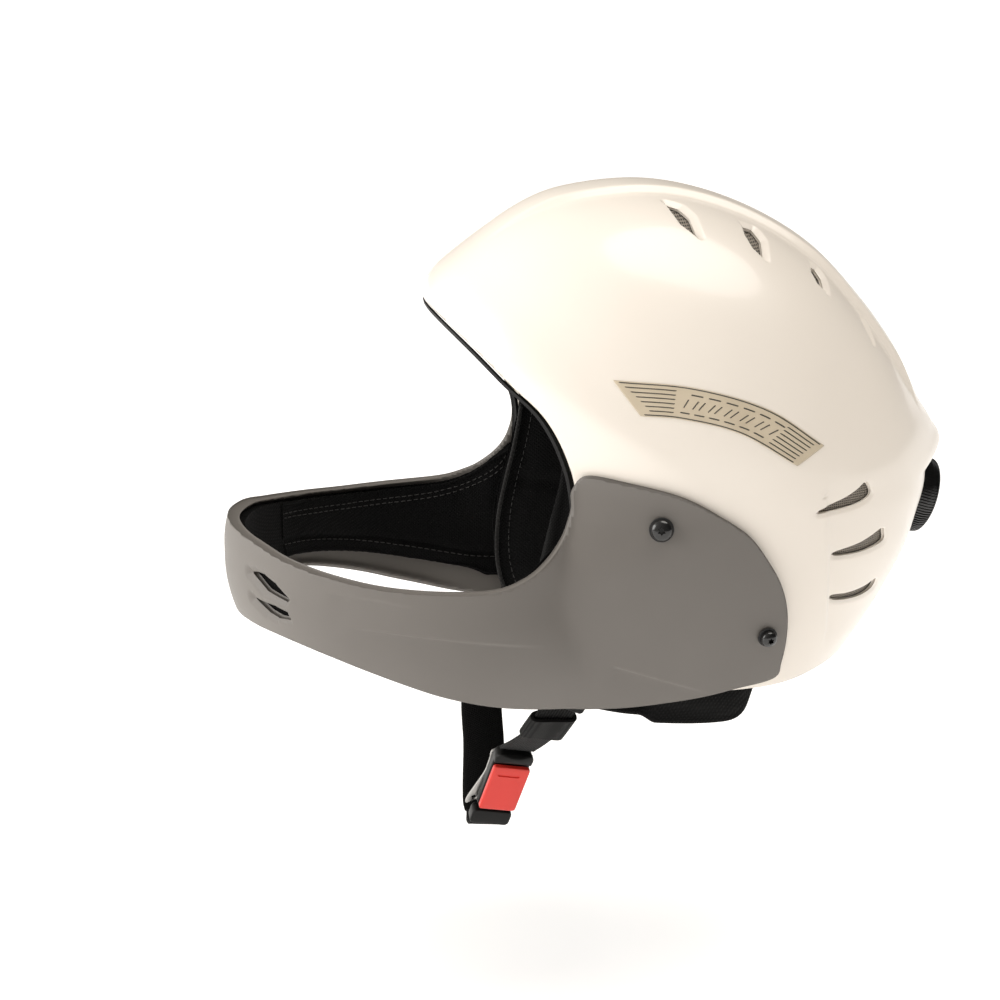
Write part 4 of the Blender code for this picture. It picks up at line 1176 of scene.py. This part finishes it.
def guard_inside(u, z, depth):
    """A point inside the guard's wall, measured from its outer face."""
    p = guard_form(u, z)
    return p - (guard_wall(p[:, 0]) + depth)[:, None] * normals_of(guard_form, u, z, 0.004, 0.4) * GUARD_SIGN


def build_guard_inside():
    half = np.concatenate([np.linspace(0, 1, 54)[:-1], 1 + np.linspace(0, 1, 62)])
    us = np.concatenate([half - 2, (2 - half)[::-1][1:]])
    # The lining runs up to the guard's rim, and back behind the cheek pad.
    outline = rounded([(x + 6 if x > -61 else x, z + 9 if i < 10 else z)
                       for i, (x, z) in enumerate(CHIN_PAD_EDGE)], 5)

    def lining_gap(p):
        return np.minimum(-distance_to(p[:, 0], p[:, 2], outline)[0] - 0.5,
                          -distance_to(p[:, 0], p[:, 2], GUARD_REGION)[0] - 2.6)
    top = rounded(CHIN_PAD_EDGE[2:10], 12, closed=False)
    low = rounded(CHIN_PAD_EDGE[11:17], 12, closed=False)
    for side, hand in SIDES:
        def keep(u, z):
            p = guard_form(u, z)
            inside = np.minimum(lining_gap(p), np.abs(p[:, 1]) - 61.0)
            return np.where(np.sign(u) == side, inside, -20)
        zs = np.arange(-210, -105.9, 2.0)
        grid = Grid(us, zs, keep, lambda u, z: np.ones(u.shape), 1)

        def quilted(u, z):
            """Inner face of the pad, drawn in along a line of sewing."""
            p = guard_form(u, z)
            d = distance_to_line(p[:, 0], p[:, 2], low + np.array((0, 11.0)))[0]
            return guard_inside(u, z, 6.2 - 1.5 * np.exp(-(d / 2.2) ** 2))
        pad = walled(f"guard_pad_{hand}", grid, lambda u, z: guard_inside(u, z, 0.6), quilted, 2.6, 4)
        puff(pad, 2.0, 0.7, 3.0)
        dress(pad, "pad", replaced=[f"chin_pad_{hand}"])
        surface = BVHTree.FromObject(pad, bpy.context.evaluated_depsgraph_get())
        rows = []
        for line, drop in ((top, -5.0), (top, -7.6), (low, 11.0)):
            ahead = unit(np.gradient(line, axis=0))
            across = np.stack([-ahead[:, 1], ahead[:, 0]], -1)
            across *= np.sign(across[:, 1:] + 1e-9)
            rows.append(seam_points(surface, line + across * drop, side))
        stitches(f"guard_pad_seam_{hand}", rows, "helmet")

    def across_front(u, z):
        p = guard_form(u, z)
        return np.where(p[:, 0] < -150, np.minimum(lining_gap(p), 62.2 - np.abs(p[:, 1])), -20)
    grid = Grid(us, np.arange(-186, -139.9, 2), across_front, lambda u, z: np.ones(u.shape), 1)
    dress(walled("bar_grille", grid, lambda u, z: guard_inside(u, z, 0.6),
                 lambda u, z: guard_inside(u, z, 5.4), 2.0, 4),
          "pad", replaced=["chin_grille"])


# ---- soft goods ----

def mesh_array(items, key):
    found = np.empty(len(items) * 3)
    items.foreach_get(key, found)
    return found.reshape(-1, 3)


def puff(obj, cap, inset=0.0, voxel=4.0):
    """Inflates a pad: a cloth simulation on an even copy gives the swelling its own mesh takes."""
    mesh = obj.data
    points, normals = mesh_array(mesh.vertices, "co"), mesh_array(mesh.vertex_normals, "vector")
    points = points - normals * inset * MM
    mesh.vertices.foreach_set("co", points.ravel())
    even = bpy.data.objects.new("even", mesh.copy())
    bpy.context.scene.collection.objects.link(even)
    remesh = even.modifiers.new("remesh", "REMESH")
    remesh.mode, remesh.voxel_size = "VOXEL", voxel * MM
    apply_modifiers(even)
    rest, out = mesh_array(even.data.vertices, "co"), mesh_array(even.data.vertex_normals, "vector")
    fill = even.modifiers.new("fill", "CLOTH")
    fill.settings.quality = 5
    fill.settings.use_pressure = True
    fill.settings.uniform_pressure_force = 4.0
    fill.settings.effector_weights.gravity = 0
    fill.settings.tension_stiffness = fill.settings.compression_stiffness = 12
    fill.settings.bending_stiffness = 0.4
    for at in range(1, 21):
        bpy.context.scene.frame_set(at)
    swollen = mesh_array(even.evaluated_get(bpy.context.evaluated_depsgraph_get()).data.vertices, "co")
    swelling = np.clip(((swollen - rest) * out).sum(1), 0, cap * MM)
    bpy.context.scene.frame_set(1)
    bpy.data.objects.remove(even, do_unlink=True)
    tree = KDTree(len(rest))
    for i, p in enumerate(rest):
        tree.insert(p, i)
    tree.balance()
    near = [[k for _, k, _ in tree.find_n(p, 6)] for p in points]
    mesh.vertices.foreach_set("co", (points + normals * swelling[near].mean(1)[:, None]).ravel())
    divide = obj.modifiers.new("divide", "SUBSURF")
    divide.levels = divide.render_levels = 1
    apply_modifiers(obj)
    obj.data.shade_smooth()
    return obj


def seam_points(surface, line, side, inward=True):
    """Points on a pad under a side-view line, seen from the head's side or from outside."""
    found = []
    for x, z in line:
        start = Vector((x, 0 if inward else side * 160, z)) * MM
        hit = surface.ray_cast(start, Vector((0, side if inward else -side, 0)))
        if hit[0] is not None:
            found.append((np.array(hit[0]) / MM, np.array(hit[1])))
    return found


def stitches(name, rows, body, length=2.6, gap=1.3, radius=0.28):
    """Rows of short raised stitches lying on a surface."""
    pieces = []
    for row in rows:
        if len(row) < 3:
            continue
        points = np.array([p + n * 0.12 for p, n in row])
        gone = np.concatenate([[0], np.cumsum(np.linalg.norm(np.diff(points, axis=0), axis=1))])
        at = 0.5
        while at + length < gone[-1]:
            place = np.linspace(at, at + length, 4)
            p = np.stack([np.interp(place, gone, points[:, k]) for k in range(3)], -1)
            pieces.append(tube("s", p, radius, 5))
            at += length + gap
    if pieces:
        dress(join(name, pieces), "stitch", body)


def build_pads():
    for side, hand in SIDES:
        outline = rounded(CHEEK_EDGE, 4)

        def keep(u, v):
            return -distance_to(u, v, outline)[0] - 5

        grid = Grid(np.arange(-70.2, 68.1, 2.6), np.arange(-241, -71.9, 2.6), keep,
                    lambda u, v: np.zeros(u.shape), 1)

        def outer(u, v):
            y = np.minimum(shell_y(u, v, 7.2), 101)
            low = ease((-176 - v) / 8) * ease((-2 - u) / 6)
            return np.stack([u, side * np.maximum(y * (1 - low) + np.minimum(y, 75.6) * low, 75.0), v], -1)

        def inner(u, v):
            rim = -distance_to(u, v, outline)[0]
            crown = 3.0 * ease((rim - 5) / 20)
            channel = 1.8 * np.exp(-((v + 150 + 0.12 * u) / 3.2) ** 2) * ease((rim - 8) / 8)
            return np.stack([u, side * (71.5 + channel - crown * 0.4), v], -1)
        pad = walled(f"cheek_cushion_{hand}", grid, outer, inner, 5.0, 5)
        puff(pad, 2.2, 0.8)
        dress(pad, "pad", replaced=[f"cheek_pad_{hand}"])
        surface = BVHTree.FromObject(pad, bpy.context.evaluated_depsgraph_get())
        welt = rounded([(-50, -84), (-47, -98), (-50.5, -122), (-55.5, -143), (-59.5, -162), (-61, -181), (-59.5, -198),
                        (-54.5, -211), (-43, -220.5), (-20, -228), (34, -232.5)], 8, closed=False)
        row = seam_points(surface, welt, side)
        if len(row) > 4:
            dress(tube(f"cheek_welt_{hand}", [p for p, n in row], 1.1, 8), "lining")
        second = [(x + 7, z + 2) for x, z in welt]
        stitches(f"cheek_stitch_{hand}", [seam_points(surface, second, side)], "helmet")

    crown_angle = math.degrees(math.atan2(-EAR_Z, -EAR_X)) % 360
    crown_deep = float(shell_radius(crown_angle)) - math.hypot(EAR_X, EAR_Z)
    for name, node, deep, angles, half, cap in (
            ("crown_cushion", "crown_pad", crown_deep, (crown_angle - 21, crown_angle + 21), 42, 1.5),
            ("brow_cushion", "brow_pad", 33.5, (133, 145.5), 56, 1.2),
            ("nape_cushion", "rear_pad", 33.5, (14, 40), 46, 1.2)):
        mid, spread_ = sum(angles) / 2, (angles[1] - angles[0]) / 2 * 2.2
        edge = (deep - 26.2) * 0.42

        def keep(u, v):
            corner = 9.0 if spread_ > 20 else 6.0
            a, b = np.abs((u - mid) * 2.2) - spread_ + corner, np.abs(v) - half + corner
            return corner - np.hypot(np.maximum(a, 0), np.maximum(b, 0)) - np.minimum(np.maximum(a, b), 0) - edge

        def face(depth, quilt=0.0):
            def form(u, v):
                seam = 0
                if quilt:
                    a = (u - mid) * 2.2
                    for at in (-0.36, 0.36):
                        seam = seam + quilt * np.exp(-((v - at * half * 2 / 1.1) / 2.4) ** 2)
                        if spread_ > 40:
                            seam = seam + quilt * np.exp(-((a - at * spread_ * 2 / 1.1) / 2.4) ** 2)
                return shell_form(u, lift_at(v, depth), depth - np.minimum(seam, quilt * 1.2), True)
            return form
        grid = Grid(np.arange(angles[0] - 1, angles[1] + 1.01, 1.0), np.arange(-half - 2, half + 2.1, 2.0), keep,
                    lambda u, v: np.zeros(u.shape), 1)
        pad = walled(name, grid, face(26.6), face(deep - 0.5, 1.6), edge, 4)
        puff(pad, cap, 0.5, 3.0)
        dress(pad, "pad", replaced=[node])


# ---- fittings ----

def build_screws():
    for side, hand in SIDES:
        for place, (x, z, head) in SCREWS.items():
            at = np.array((x, side * float(shell_y(x, z)), z))
            axis = side_normal(x, z, side)
            base = GUARD_GAP + GUARD_WALL + 0.8
            ring = ([(2.8, base)] + [(head + 0.8, base)] + arc(head + 0.4, base + 0.5, 0.4, 0, 90, 3)
                    + [(2.8, base + 0.9), (2.8, base)])
            dress(lathe(f"{place}_seal_{hand}", at, axis, ring, 48), "rubber",
                  replaced=[f"{place}_washer_{hand}"])
            top = base + 1.3
            dome = [(0, -10), (2.4, -10), (2.4, top), (head - 0.2, top), (head, top + 0.25), (head, top + 1.2)]
            dome += [(head * math.cos(math.radians(a)), top + 1.2 + 2.8 * math.sin(math.radians(a)))
                     for a in (12, 25, 38, 50, 62, 74, 83)]
            screw = lathe(f"{place}_bolt_{hand}", at, axis, dome + [(0, top + 4)], 48)
            axes = frame_of(axis)
            reach = head * 0.42
            star = [((reach if k % 2 else reach * 0.62) * math.cos(math.pi * k / 6),
                     (reach if k % 2 else reach * 0.62) * math.sin(math.pi * k / 6)) for k in range(12)]
            socket = prism("socket", star, top + 1.6, top + 9, lambda u, v, w: at + u * axes[0] + v * axes[1] + w * axes[2])
            cut(screw, [socket])
            sharpen(screw, 32)
            dress(screw, "screw", replaced=[f"{place}_screw_{hand}"])


DIAL_AXIS = np.array((math.cos(math.radians(DIAL_TILT)), 0, -math.sin(math.radians(DIAL_TILT))))


def dial_point(out, across=0.0, up=0.0):
    axes = frame_of(DIAL_AXIS)
    return np.array((DIAL_X, 0, DIAL_Z)) + out * DIAL_AXIS + across * axes[0] + up * axes[1]


def build_dial():
    r, deep = DIAL_RADIUS, DIAL_DEEP

    def knurl(t, radius, h):
        if radius < r - 1.3 or h < 1.5:
            return 0.0
        tooth = abs((t * 84 / (2 * math.pi)) % 1 - 0.5) * 2
        return -0.95 * float(ease((tooth - 0.25) / 0.5))
    profile = [(0, 1.0), (r - 1.4, 1.0), (r - 0.7, 1.3), (r, 2.0), (r, 4), (r, 6), (r, 8.2), (r - 0.5, 9.4)]
    profile += arc(r - 3.2, deep - 1.8, 2.4, 25, 90, 5) + [(r - 5, deep + 0.55), (r - 6.2, deep + 0.2), (r - 7.2, deep - 0.5)]
    profile += [(r - 9.5, deep - 1.3), (r - 12.5, deep - 1.5), (6.2, deep - 1.5), (5.8, deep - 1.2), (5.4, deep - 0.7),
                (4.2, deep - 0.5), (0, deep - 0.4)]
    knob = lathe("dial_wheel", dial_point(0), DIAL_AXIS, profile, 504, wave=knurl, sharp=40)
    dress(knob, "gloss", "dial", replaced=["dial_knob"])


def widthways(count, reach):
    """The webbing's width direction at each point: the buckle's at the first, the helmet's farther on."""
    across = buckle_frame()[0]
    turn = np.maximum(0, 1 - np.arange(count) / reach)[:, None]
    return across * turn + np.array((1.0, 0, 0)) * (1 - turn)


def strap_section(width, thick):
    """A flat woven section: slightly thicker selvedges."""
    a, b = width / 2, thick / 2
    return [(-a + 0.5, -b), (-a + 1.6, -b * 0.94), (-a / 3, -b), (a / 3, -b), (a - 1.6, -b * 0.94), (a - 0.5, -b),
            (a, -b * 0.35), (a, b * 0.35), (a - 0.5, b), (a - 1.6, b * 0.94), (a / 3, b), (-a / 3, b),
            (-a + 1.6, b * 0.94), (-a + 0.5, b), (-a, b * 0.35), (-a, -b * 0.35)]


def build_straps():
    near = rounded(NEAR_PATH, 14, closed=False)
    dress(ribbon("near_web", near, strap_section(WEB, WEB_THICK), widthways(len(near), 24.5)[::-1]),
          "web", "strap_left",
          replaced=["left_strap"])
    # The far strap starts inside the tongue's handle.
    far = rounded([(-78.8, -12.6, -314.2), (-79.8, -10.2, -317.2)] + FAR_PATH, 12, closed=False)
    cad = rounded(FAR_PATH, 4, closed=False)
    web = ribbon("far_web", far, strap_section(WEB, WEB_THICK), widthways(len(far), 30))
    dress(web, "web", None, replaced=["right_strap"])
    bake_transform(web)
    path = far[36:-15]
    section = [(12.2 * math.copysign(abs(math.cos(t)) ** 0.45, math.cos(t)),
                3.5 * math.copysign(abs(math.sin(t)) ** 0.8, math.sin(t)))
               for t in np.linspace(0, 2 * math.pi, 33)[:-1]]

    def swell(t):
        end = float(ease(min(t, 1 - t) / 0.1))
        return (0.93 + 0.07 * end, 0.5 + 0.5 * end)
    sleeve = ribbon("strap_pad", path, section, scale=swell)
    puff(sleeve, 1.2, 0.4, 3.0)
    dress(sleeve, "pad", "strap_right", replaced=["strap_sleeve"])


def buckle_frame():
    along = unit(BUCKLE_ALONG)
    across = unit(np.array((1.0, 0, 0)) - along[0] * along)
    out = np.cross(across, along)
    return across, along, (out if out[1] < 0 else -out)


def buckle_point(across, along, out):
    u, v, w = buckle_frame()
    return BUCKLE_AT + across * u + along * v + out * w


def domed(name, outline, low, high, crown, edge, place, rings=6):
    """A plate with an outline in the first two directions, a crowned top and a rounded upper edge."""
    line = np.array(outline, float)
    middle = line.mean(0)
    n = len(line)
    points, count = [place(u, v, low) for u, v in line], n
    faces = [tuple(range(n))]
    levels = [(1.0, high - crown - edge)]
    levels += [(1 - edge * (1 - math.cos(t)) / 12, high - crown - edge + edge * math.sin(t))
               for t in (0.5, 1.0, math.pi / 2)]
    base = levels[-1][0]
    for k in range(1, rings):
        r = 1 - k / rings
        levels.append((base * r, high - crown * r * r))
    for scale, height in levels:
        points += [place(*(middle + (p - middle) * scale), height) for p in line]
        faces += [(count - n + i, count - n + (i + 1) % n, count + (i + 1) % n, count + i) for i in range(n)]
        count += n
    points.append(place(*middle, high))
    faces += [(count - n + i, count - n + (i + 1) % n, count) for i in range(n)]
    return make(name, points, faces, sharp=40)


def build_buckle():
    axes = buckle_frame()
    dome = rounded([(-10.6, 3.1), (-10.7, -1.0), (-8.6, -3.7), (-3, -4.4), (3, -4.4), (8.6, -3.7), (10.7, -1.0), (10.6, 3.1)],
                   5, closed=False)
    housing = block("buckle_case", buckle_point(0, 17.5, -1.5), (21.2, 43.6, 5.4), axes, 4.6)
    bevel(housing, 0.9, 3)
    cut(housing, [
        block("mouth", buckle_point(0, 32, -1.6), (17, 24, 3.6), axes, 0.5),
        block("latch", buckle_point(0, 14, -1.6), (13, 13, 3.6), axes, 0.5),
    ])
    cap = domed("cap", dome, 0.2, 5.6, 2.0, 1.4, buckle_point)
    m = housing.modifiers.new("cap", "BOOLEAN")
    m.operation, m.solver, m.object = "UNION", "EXACT", cap
    apply_modifiers(housing)
    bpy.data.objects.remove(cap, do_unlink=True)
    tidy(housing)
    sharpen(housing, 32)
    dress(housing, "black", "strap_left", replaced=["buckle_housing"])
    face = soft_corner(10.3, 16.1, 1.7)
    button = domed("release_button", [(u, v + 20.5) for u, v in face], 2.7, 5.7, 0.35, 0.9, buckle_point)
    cut(button, [block("groove", buckle_point(-0.8, 9.8, 6.0), (12.4, 1.9, 2.0), axes, 0.9)])
    sharpen(button, 32)
    dress(button, "red", "button", replaced=["buckle_button"])
    plate = prism("side_plate", rounded(PLATE, 5), -6.2, -5.0, buckle_point)
    bevel(plate, 0.3, 2)
    cut(plate, [lathe("eye", buckle_point(-10.9, 38.4, -5.6), axes[2], [(0, -4), (1.7, -4), (1.7, 4), (0, 4)], 32)])
    sharpen(plate, 30)
    dress(plate, "steel", "strap_left", replaced=["buckle_plate"])
    tongue = block("tongue_plate", buckle_point(0, 34.1, -1.6), (15.6, 25, 2.2), axes, 4)
    bevel(tongue, 0.35, 2)
    cut(tongue, [block("catch", buckle_point(0, 27.5, -1.6), (7, 4, 8), axes, 0.8)])
    sharpen(tongue, 30)
    dress(tongue, "steel", "tongue", replaced=["buckle_tongue"])
    grip = block("tongue_handle", buckle_point(0, 46.4, -1.6), (22.4, 10.2, 7), axes, 2.6)
    bevel(grip, 1.0, 4)
    cut(grip, [block("pocket", buckle_point(0, 41.8, -1.6), (16.4, 11, 3), axes, 0.5)])
    sharpen(grip, 30)
    dress(grip, "black", "tongue", replaced=["tongue_grip"])
    latch = block("latch_plate", buckle_point(0, 13.8, -1.6), (11, 11.6, 2.6), axes, 1.2)
    bevel(latch, 0.3, 2)
    dress(latch, "steel", "strap_left", replaced=["buckle_latch"])


def build_loops():
    near = rounded(NEAR_PATH, 4, closed=False)
    for i, name, node, size, room, material in ((6, "web_keeper", "strap_keeper", (24, 6.5, 6.6), 4.2, "black"),):
        at, axes = near[i], loop_axes(near, i)
        ring = block(name, at, size, axes, 2.2)
        bevel(ring, 0.9, 3)
        cut(ring, [block("tunnel", at, (WEB + 1.6, 40, room), axes, 0.6)])
        sharpen(ring, 30)
        dress(ring, material, "strap_left", replaced=[node])
    build_fold(near[11], loop_axes(near, 11))


def loop_axes(path, i):
    ahead = unit(path[i + 1] - path[i - 1])
    across = unit(np.array((1.0, 0, 0)) - ahead[0] * ahead)
    out = np.cross(across, ahead)
    return across, ahead, (out if out[1] < 0 else -out)


def build_fold(at, axes):
    """The webbing's free end, sewn back round the strap as a flat tube with soft folds at its sides."""
    across, ahead, out = axes
    wide, deep, long, wall = 12.4, 3.6, 20.0, 1.6
    rows, columns = 15, 56
    points = []
    for skin in (0.0, wall):
        for i in range(rows):
            t = i / (rows - 1)
            slack = 1 + 0.05 * math.sin(math.pi * t)
            for k in range(columns):
                a = 2 * math.pi * k / columns
                c, s = math.cos(a), math.sin(a)
                u = (wide - skin) * math.copysign(abs(c) ** 0.42, c)
                w = (deep * slack - skin) * math.copysign(abs(s) ** 0.75, s)
                skew = 2.2 * (t - 0.5) * (u / wide) - 1.0 * (1 - (u / wide) ** 2)
                points.append(at + u * across + w * out + (long * (t - 0.5) + skew) * ahead)
    half, faces = rows * columns, []
    for i in range(rows - 1):
        for k in range(columns):
            a, b, j = i * columns, (i + 1) * columns, (k + 1) % columns
            faces.append((a + k, a + j, b + j, b + k))
            faces.append((half + b + k, half + b + j, half + a + j, half + a + k))
    for k in range(columns):
        j, last = (k + 1) % columns, (rows - 1) * columns
        faces.append((half + k, half + j, j, k))
        faces.append((last + k, last + j, half + last + j, half + last + k))
    fold = make("web_fold", points, faces, sharp=60)
    layer = fold.data.uv_layers.new(name="along")
    for loop in fold.data.loops:
        i, k = divmod(loop.vertex_index % half, columns)
        layer.data[loop.index].uv = (wide * 2 * k / columns, long * i / (rows - 1))
    dress(fold, "web", "strap_left", replaced=["strap_fold"])


# ---- the printed band ----

BAND_TOP = [(-31, -48), (10, -52), (48, -64), (79, -85)]
BAND_LOW = [(-17, -66), (4, -68), (33, -76), (63, -94)]


def band_point(s, t, lift, side):
    """s runs along the band and t down it, both 0 to 1."""
    s, t = np.asarray(s, float), np.asarray(t, float)
    top, low = rounded(BAND_TOP, 20, closed=False), rounded(BAND_LOW, 20, closed=False)
    at = s * (len(top) - 1)
    a = np.stack([np.interp(at, np.arange(len(top)), top[:, k]) for k in (0, 1)], -1)
    b = np.stack([np.interp(at, np.arange(len(low)), low[:, k]) for k in (0, 1)], -1)
    p = a + (b - a) * t[..., None]
    base = np.stack([p[..., 0], side * shell_y(p[..., 0], p[..., 1]), p[..., 1]], -1)
    normal = np.stack([side_normal(x, z, side) for x, z in p.reshape(-1, 2)]).reshape(base.shape)
    return base + lift * normal


def band_patch(name, outline, low, high, side, edge=0.06):
    """A thin film with an outline in the band's own coordinates."""
    xs = [o[0] for o in outline]
    ys = [o[1] for o in outline]
    wide, tall = 120.0, 20.0
    scaled = [(x * wide, y * tall) for x, y in outline]
    keep = lambda u, v: -distance_to(u * wide, v * tall, scaled)[0]
    us = np.linspace(min(xs) - 0.01, max(xs) + 0.01, max(8, int((max(xs) - min(xs)) * 90)))
    vs = np.linspace(min(ys) - 0.04, max(ys) + 0.04, max(5, int((max(ys) - min(ys)) * 16)))
    grid = Grid(us, vs, keep, lambda u, v: np.ones(u.shape), 1)
    return walled(name, grid, lambda u, v: band_point(u, v, high, side),
                  lambda u, v: band_point(u, v, low, side), edge, 1)


def build_bands():
    for side, hand in SIDES:
        corner = [(0.012, 0.02), (0.988, 0.03), (0.99, 0.97), (0.012, 0.98)]
        dress(band_patch(f"side_print_{hand}", corner, 0.12, 0.34, side), "band",
              replaced=[f"side_band_{hand}"])
        # Border lines, pinstripes at both ends and a row of leaning hollow bars between them: a plain pattern.
        bars = [[(0.03, 0.05), (0.97, 0.05), (0.97, 0.085), (0.03, 0.085)],
                [(0.05, 0.915), (0.96, 0.915), (0.96, 0.95), (0.05, 0.95)]]
        for k in range(6):
            y = 0.17 + 0.125 * k
            bars.append([(0.04 + 0.012 * k, y), (0.27, y), (0.262, y + 0.033), (0.045 + 0.012 * k, y + 0.033)])
            bars.append([(0.80, y), (0.955, y), (0.95, y + 0.033), (0.792, y + 0.033)])
        for k in range(6):
            x, w, lean, line = 0.305 + 0.08 * k, 0.055, 0.03, 0.007
            low, high = 0.22, 0.80
            bars.append([(x + lean, low), (x + lean + w, low), (x + lean + w, low + 0.04), (x + lean, low + 0.04)])
            bars.append([(x, high - 0.04), (x + w, high - 0.04), (x + w, high), (x, high)])
            bars.append([(x + lean, low), (x + lean + line, low), (x + line, high), (x, high)])
            bars.append([(x + w + lean - line, low), (x + w + lean, low), (x + w, high), (x + w - line, high)])
        inks = [band_patch("ink", bar, 0.3, 0.4, side, 0.03) for bar in bars]
        dress(join(f"side_print_ink_{hand}", inks), "ink")


# ---- kept CAD parts ----

def dress_kept():
    kinds = {"nut": "steel", "rivet": "steel", "hanger": "zinc", "spindle": "black", "pinion": "nylon",
             "gear": "black", "rack": "nylon", "dial_screw": "steel"}
    for name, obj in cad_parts.items():
        for key, material in kinds.items():
            if key in name:
                for index in range(len(obj.material_slots)):
                    obj.material_slots[index].material = MAT[material]


# ---- floor, light and camera ----

def build_stage():
    low = cad_box[0][2] if not isinstance(cad_box, dict) else -0.32
    size, points = 26.0, []
    for i in range(5):
        for j in range(5):
            points.append(((i - 2) * size / 4 * 1000, (j - 1) * size / 4 * 1000, (low - 0.085) * 1000))
    faces = [(i * 5 + j, (i + 1) * 5 + j, (i + 1) * 5 + j + 1, i * 5 + j + 1) for i in range(4) for j in range(4)]
    mesh = bpy.data.meshes.new("floor")
    mesh.from_pydata((np.array(points) * MM).tolist(), [], faces)
    floor = bpy.data.objects.new("floor", mesh)
    bpy.context.scene.collection.objects.link(floor)
    material, nodes, links, shader = tree_of("floor_paper_glow", (0.93, 0.93, 0.93), 0.9)
    links.new(ramp(nodes, links, noise(nodes, links, 3), (0.90, 0.90, 0.90), (0.92, 0.92, 0.92)),
              shader.inputs["Base Color"])
    # The floor glows with painted light: weaker near the helmet and stronger farther out. It fills in the shadow under
    # the helmet, keeps the far floor white and lights the helmet from below.
    shader.inputs["Emission Color"].default_value = (1, 0.985, 0.97, 1)
    place = nodes.new("ShaderNodeSeparateXYZ")
    links.new(nodes.new("ShaderNodeTexCoord").outputs["Object"], place.inputs["Vector"])
    away = maths(nodes, links, "SQRT", maths(nodes, links, "ADD", maths(nodes, links, "POWER", place.outputs["X"], 2.0),
                                             maths(nodes, links, "POWER", place.outputs["Y"], 2.0)), 0.0)
    links.new(spread(nodes, links, away, 0.47, 0.80, 0.2, 2.2), shader.inputs["Emission Strength"])
    mesh.materials.append(material)

    # The room is brighter on the side the helmet faces, and overhead.
    world = bpy.data.worlds.new("studio")
    world.use_nodes = True
    nodes, links = world.node_tree.nodes, world.node_tree.links
    back = nodes["Background"]
    back.inputs["Color"].default_value = (1.0, 0.96, 0.90, 1)
    apart = nodes.new("ShaderNodeSeparateXYZ")
    links.new(nodes.new("ShaderNodeTexCoord").outputs["Generated"], apart.inputs["Vector"])
    facing = maths(nodes, links, "MULTIPLY", maths(nodes, links, "SUBTRACT", 1.0, apart.outputs["X"]), 0.5)
    ahead = spread(nodes, links, maths(nodes, links, "POWER", facing, 2.0), 0.07, 0.85)
    above = spread(nodes, links, maths(nodes, links, "MULTIPLY", maths(nodes, links, "ADD", apart.outputs["Z"], 1.0), 0.5),
                   0.10, 1.35)
    links.new(maths(nodes, links, "MULTIPLY", ahead, above), back.inputs["Strength"])
    bpy.context.scene.world = world
    for name, at, size, power, colour in (
            ("key", (-2.15, -0.3, 0.72), 1.7, 37, (1.0, 0.985, 0.965)),
            ("top", (0.6, -0.2, 1.8), 1.6, 28, (1.0, 0.96, 0.905)),
            ("fill", (-1.9, 1.2, 0.2), 1.5, 5, (1.0, 0.98, 0.95))):
        lamp = bpy.data.lights.new(name, "AREA")
        lamp.shape, lamp.size, lamp.energy, lamp.color = "DISK", size, power, colour
        obj = bpy.data.objects.new(name, lamp)
        bpy.context.scene.collection.objects.link(obj)
        obj.location = at
        aim = Vector((-0.02, 0, -0.14)) - Vector(at)
        obj.rotation_euler = aim.to_track_quat("-Z", "Y").to_euler()
    scene = bpy.context.scene
    scene.view_settings.view_transform = "Standard"
    scene.view_settings.look = "None"


def build_camera():
    turn, tip = math.radians(9), math.radians(16)
    ahead = Vector((math.sin(turn) * math.cos(tip), math.cos(turn) * math.cos(tip), -math.sin(tip)))
    right = Vector((math.cos(turn), -math.sin(turn), 0))
    up = right.cross(ahead)
    focal = 2418.0  # in thousandths of the image's width
    aim = ahead + (120 / focal) * right - (-50 / focal) * up
    place = -aim * 1.3 - Vector((0.005, 0, 0.110))
    data = bpy.data.cameras.new("camera")
    data.sensor_width, data.lens = 36, 36 * focal / 1000
    data.clip_end = 30
    camera = bpy.data.objects.new("camera", data)
    bpy.context.scene.collection.objects.link(camera)
    rows = Matrix((right, up, -ahead)).transposed()
    camera.matrix_world = Matrix.Translation(place) @ rows.to_4x4()
    bpy.context.scene.camera = camera


build_camera()
build_stage()
build_shell()
build_edge_bead()
build_screens()
build_liner()
build_guard()
build_guard_inside()
build_pads()
build_screws()
build_dial()
build_straps()
build_buckle()
build_loops()
build_bands()
dress_kept()
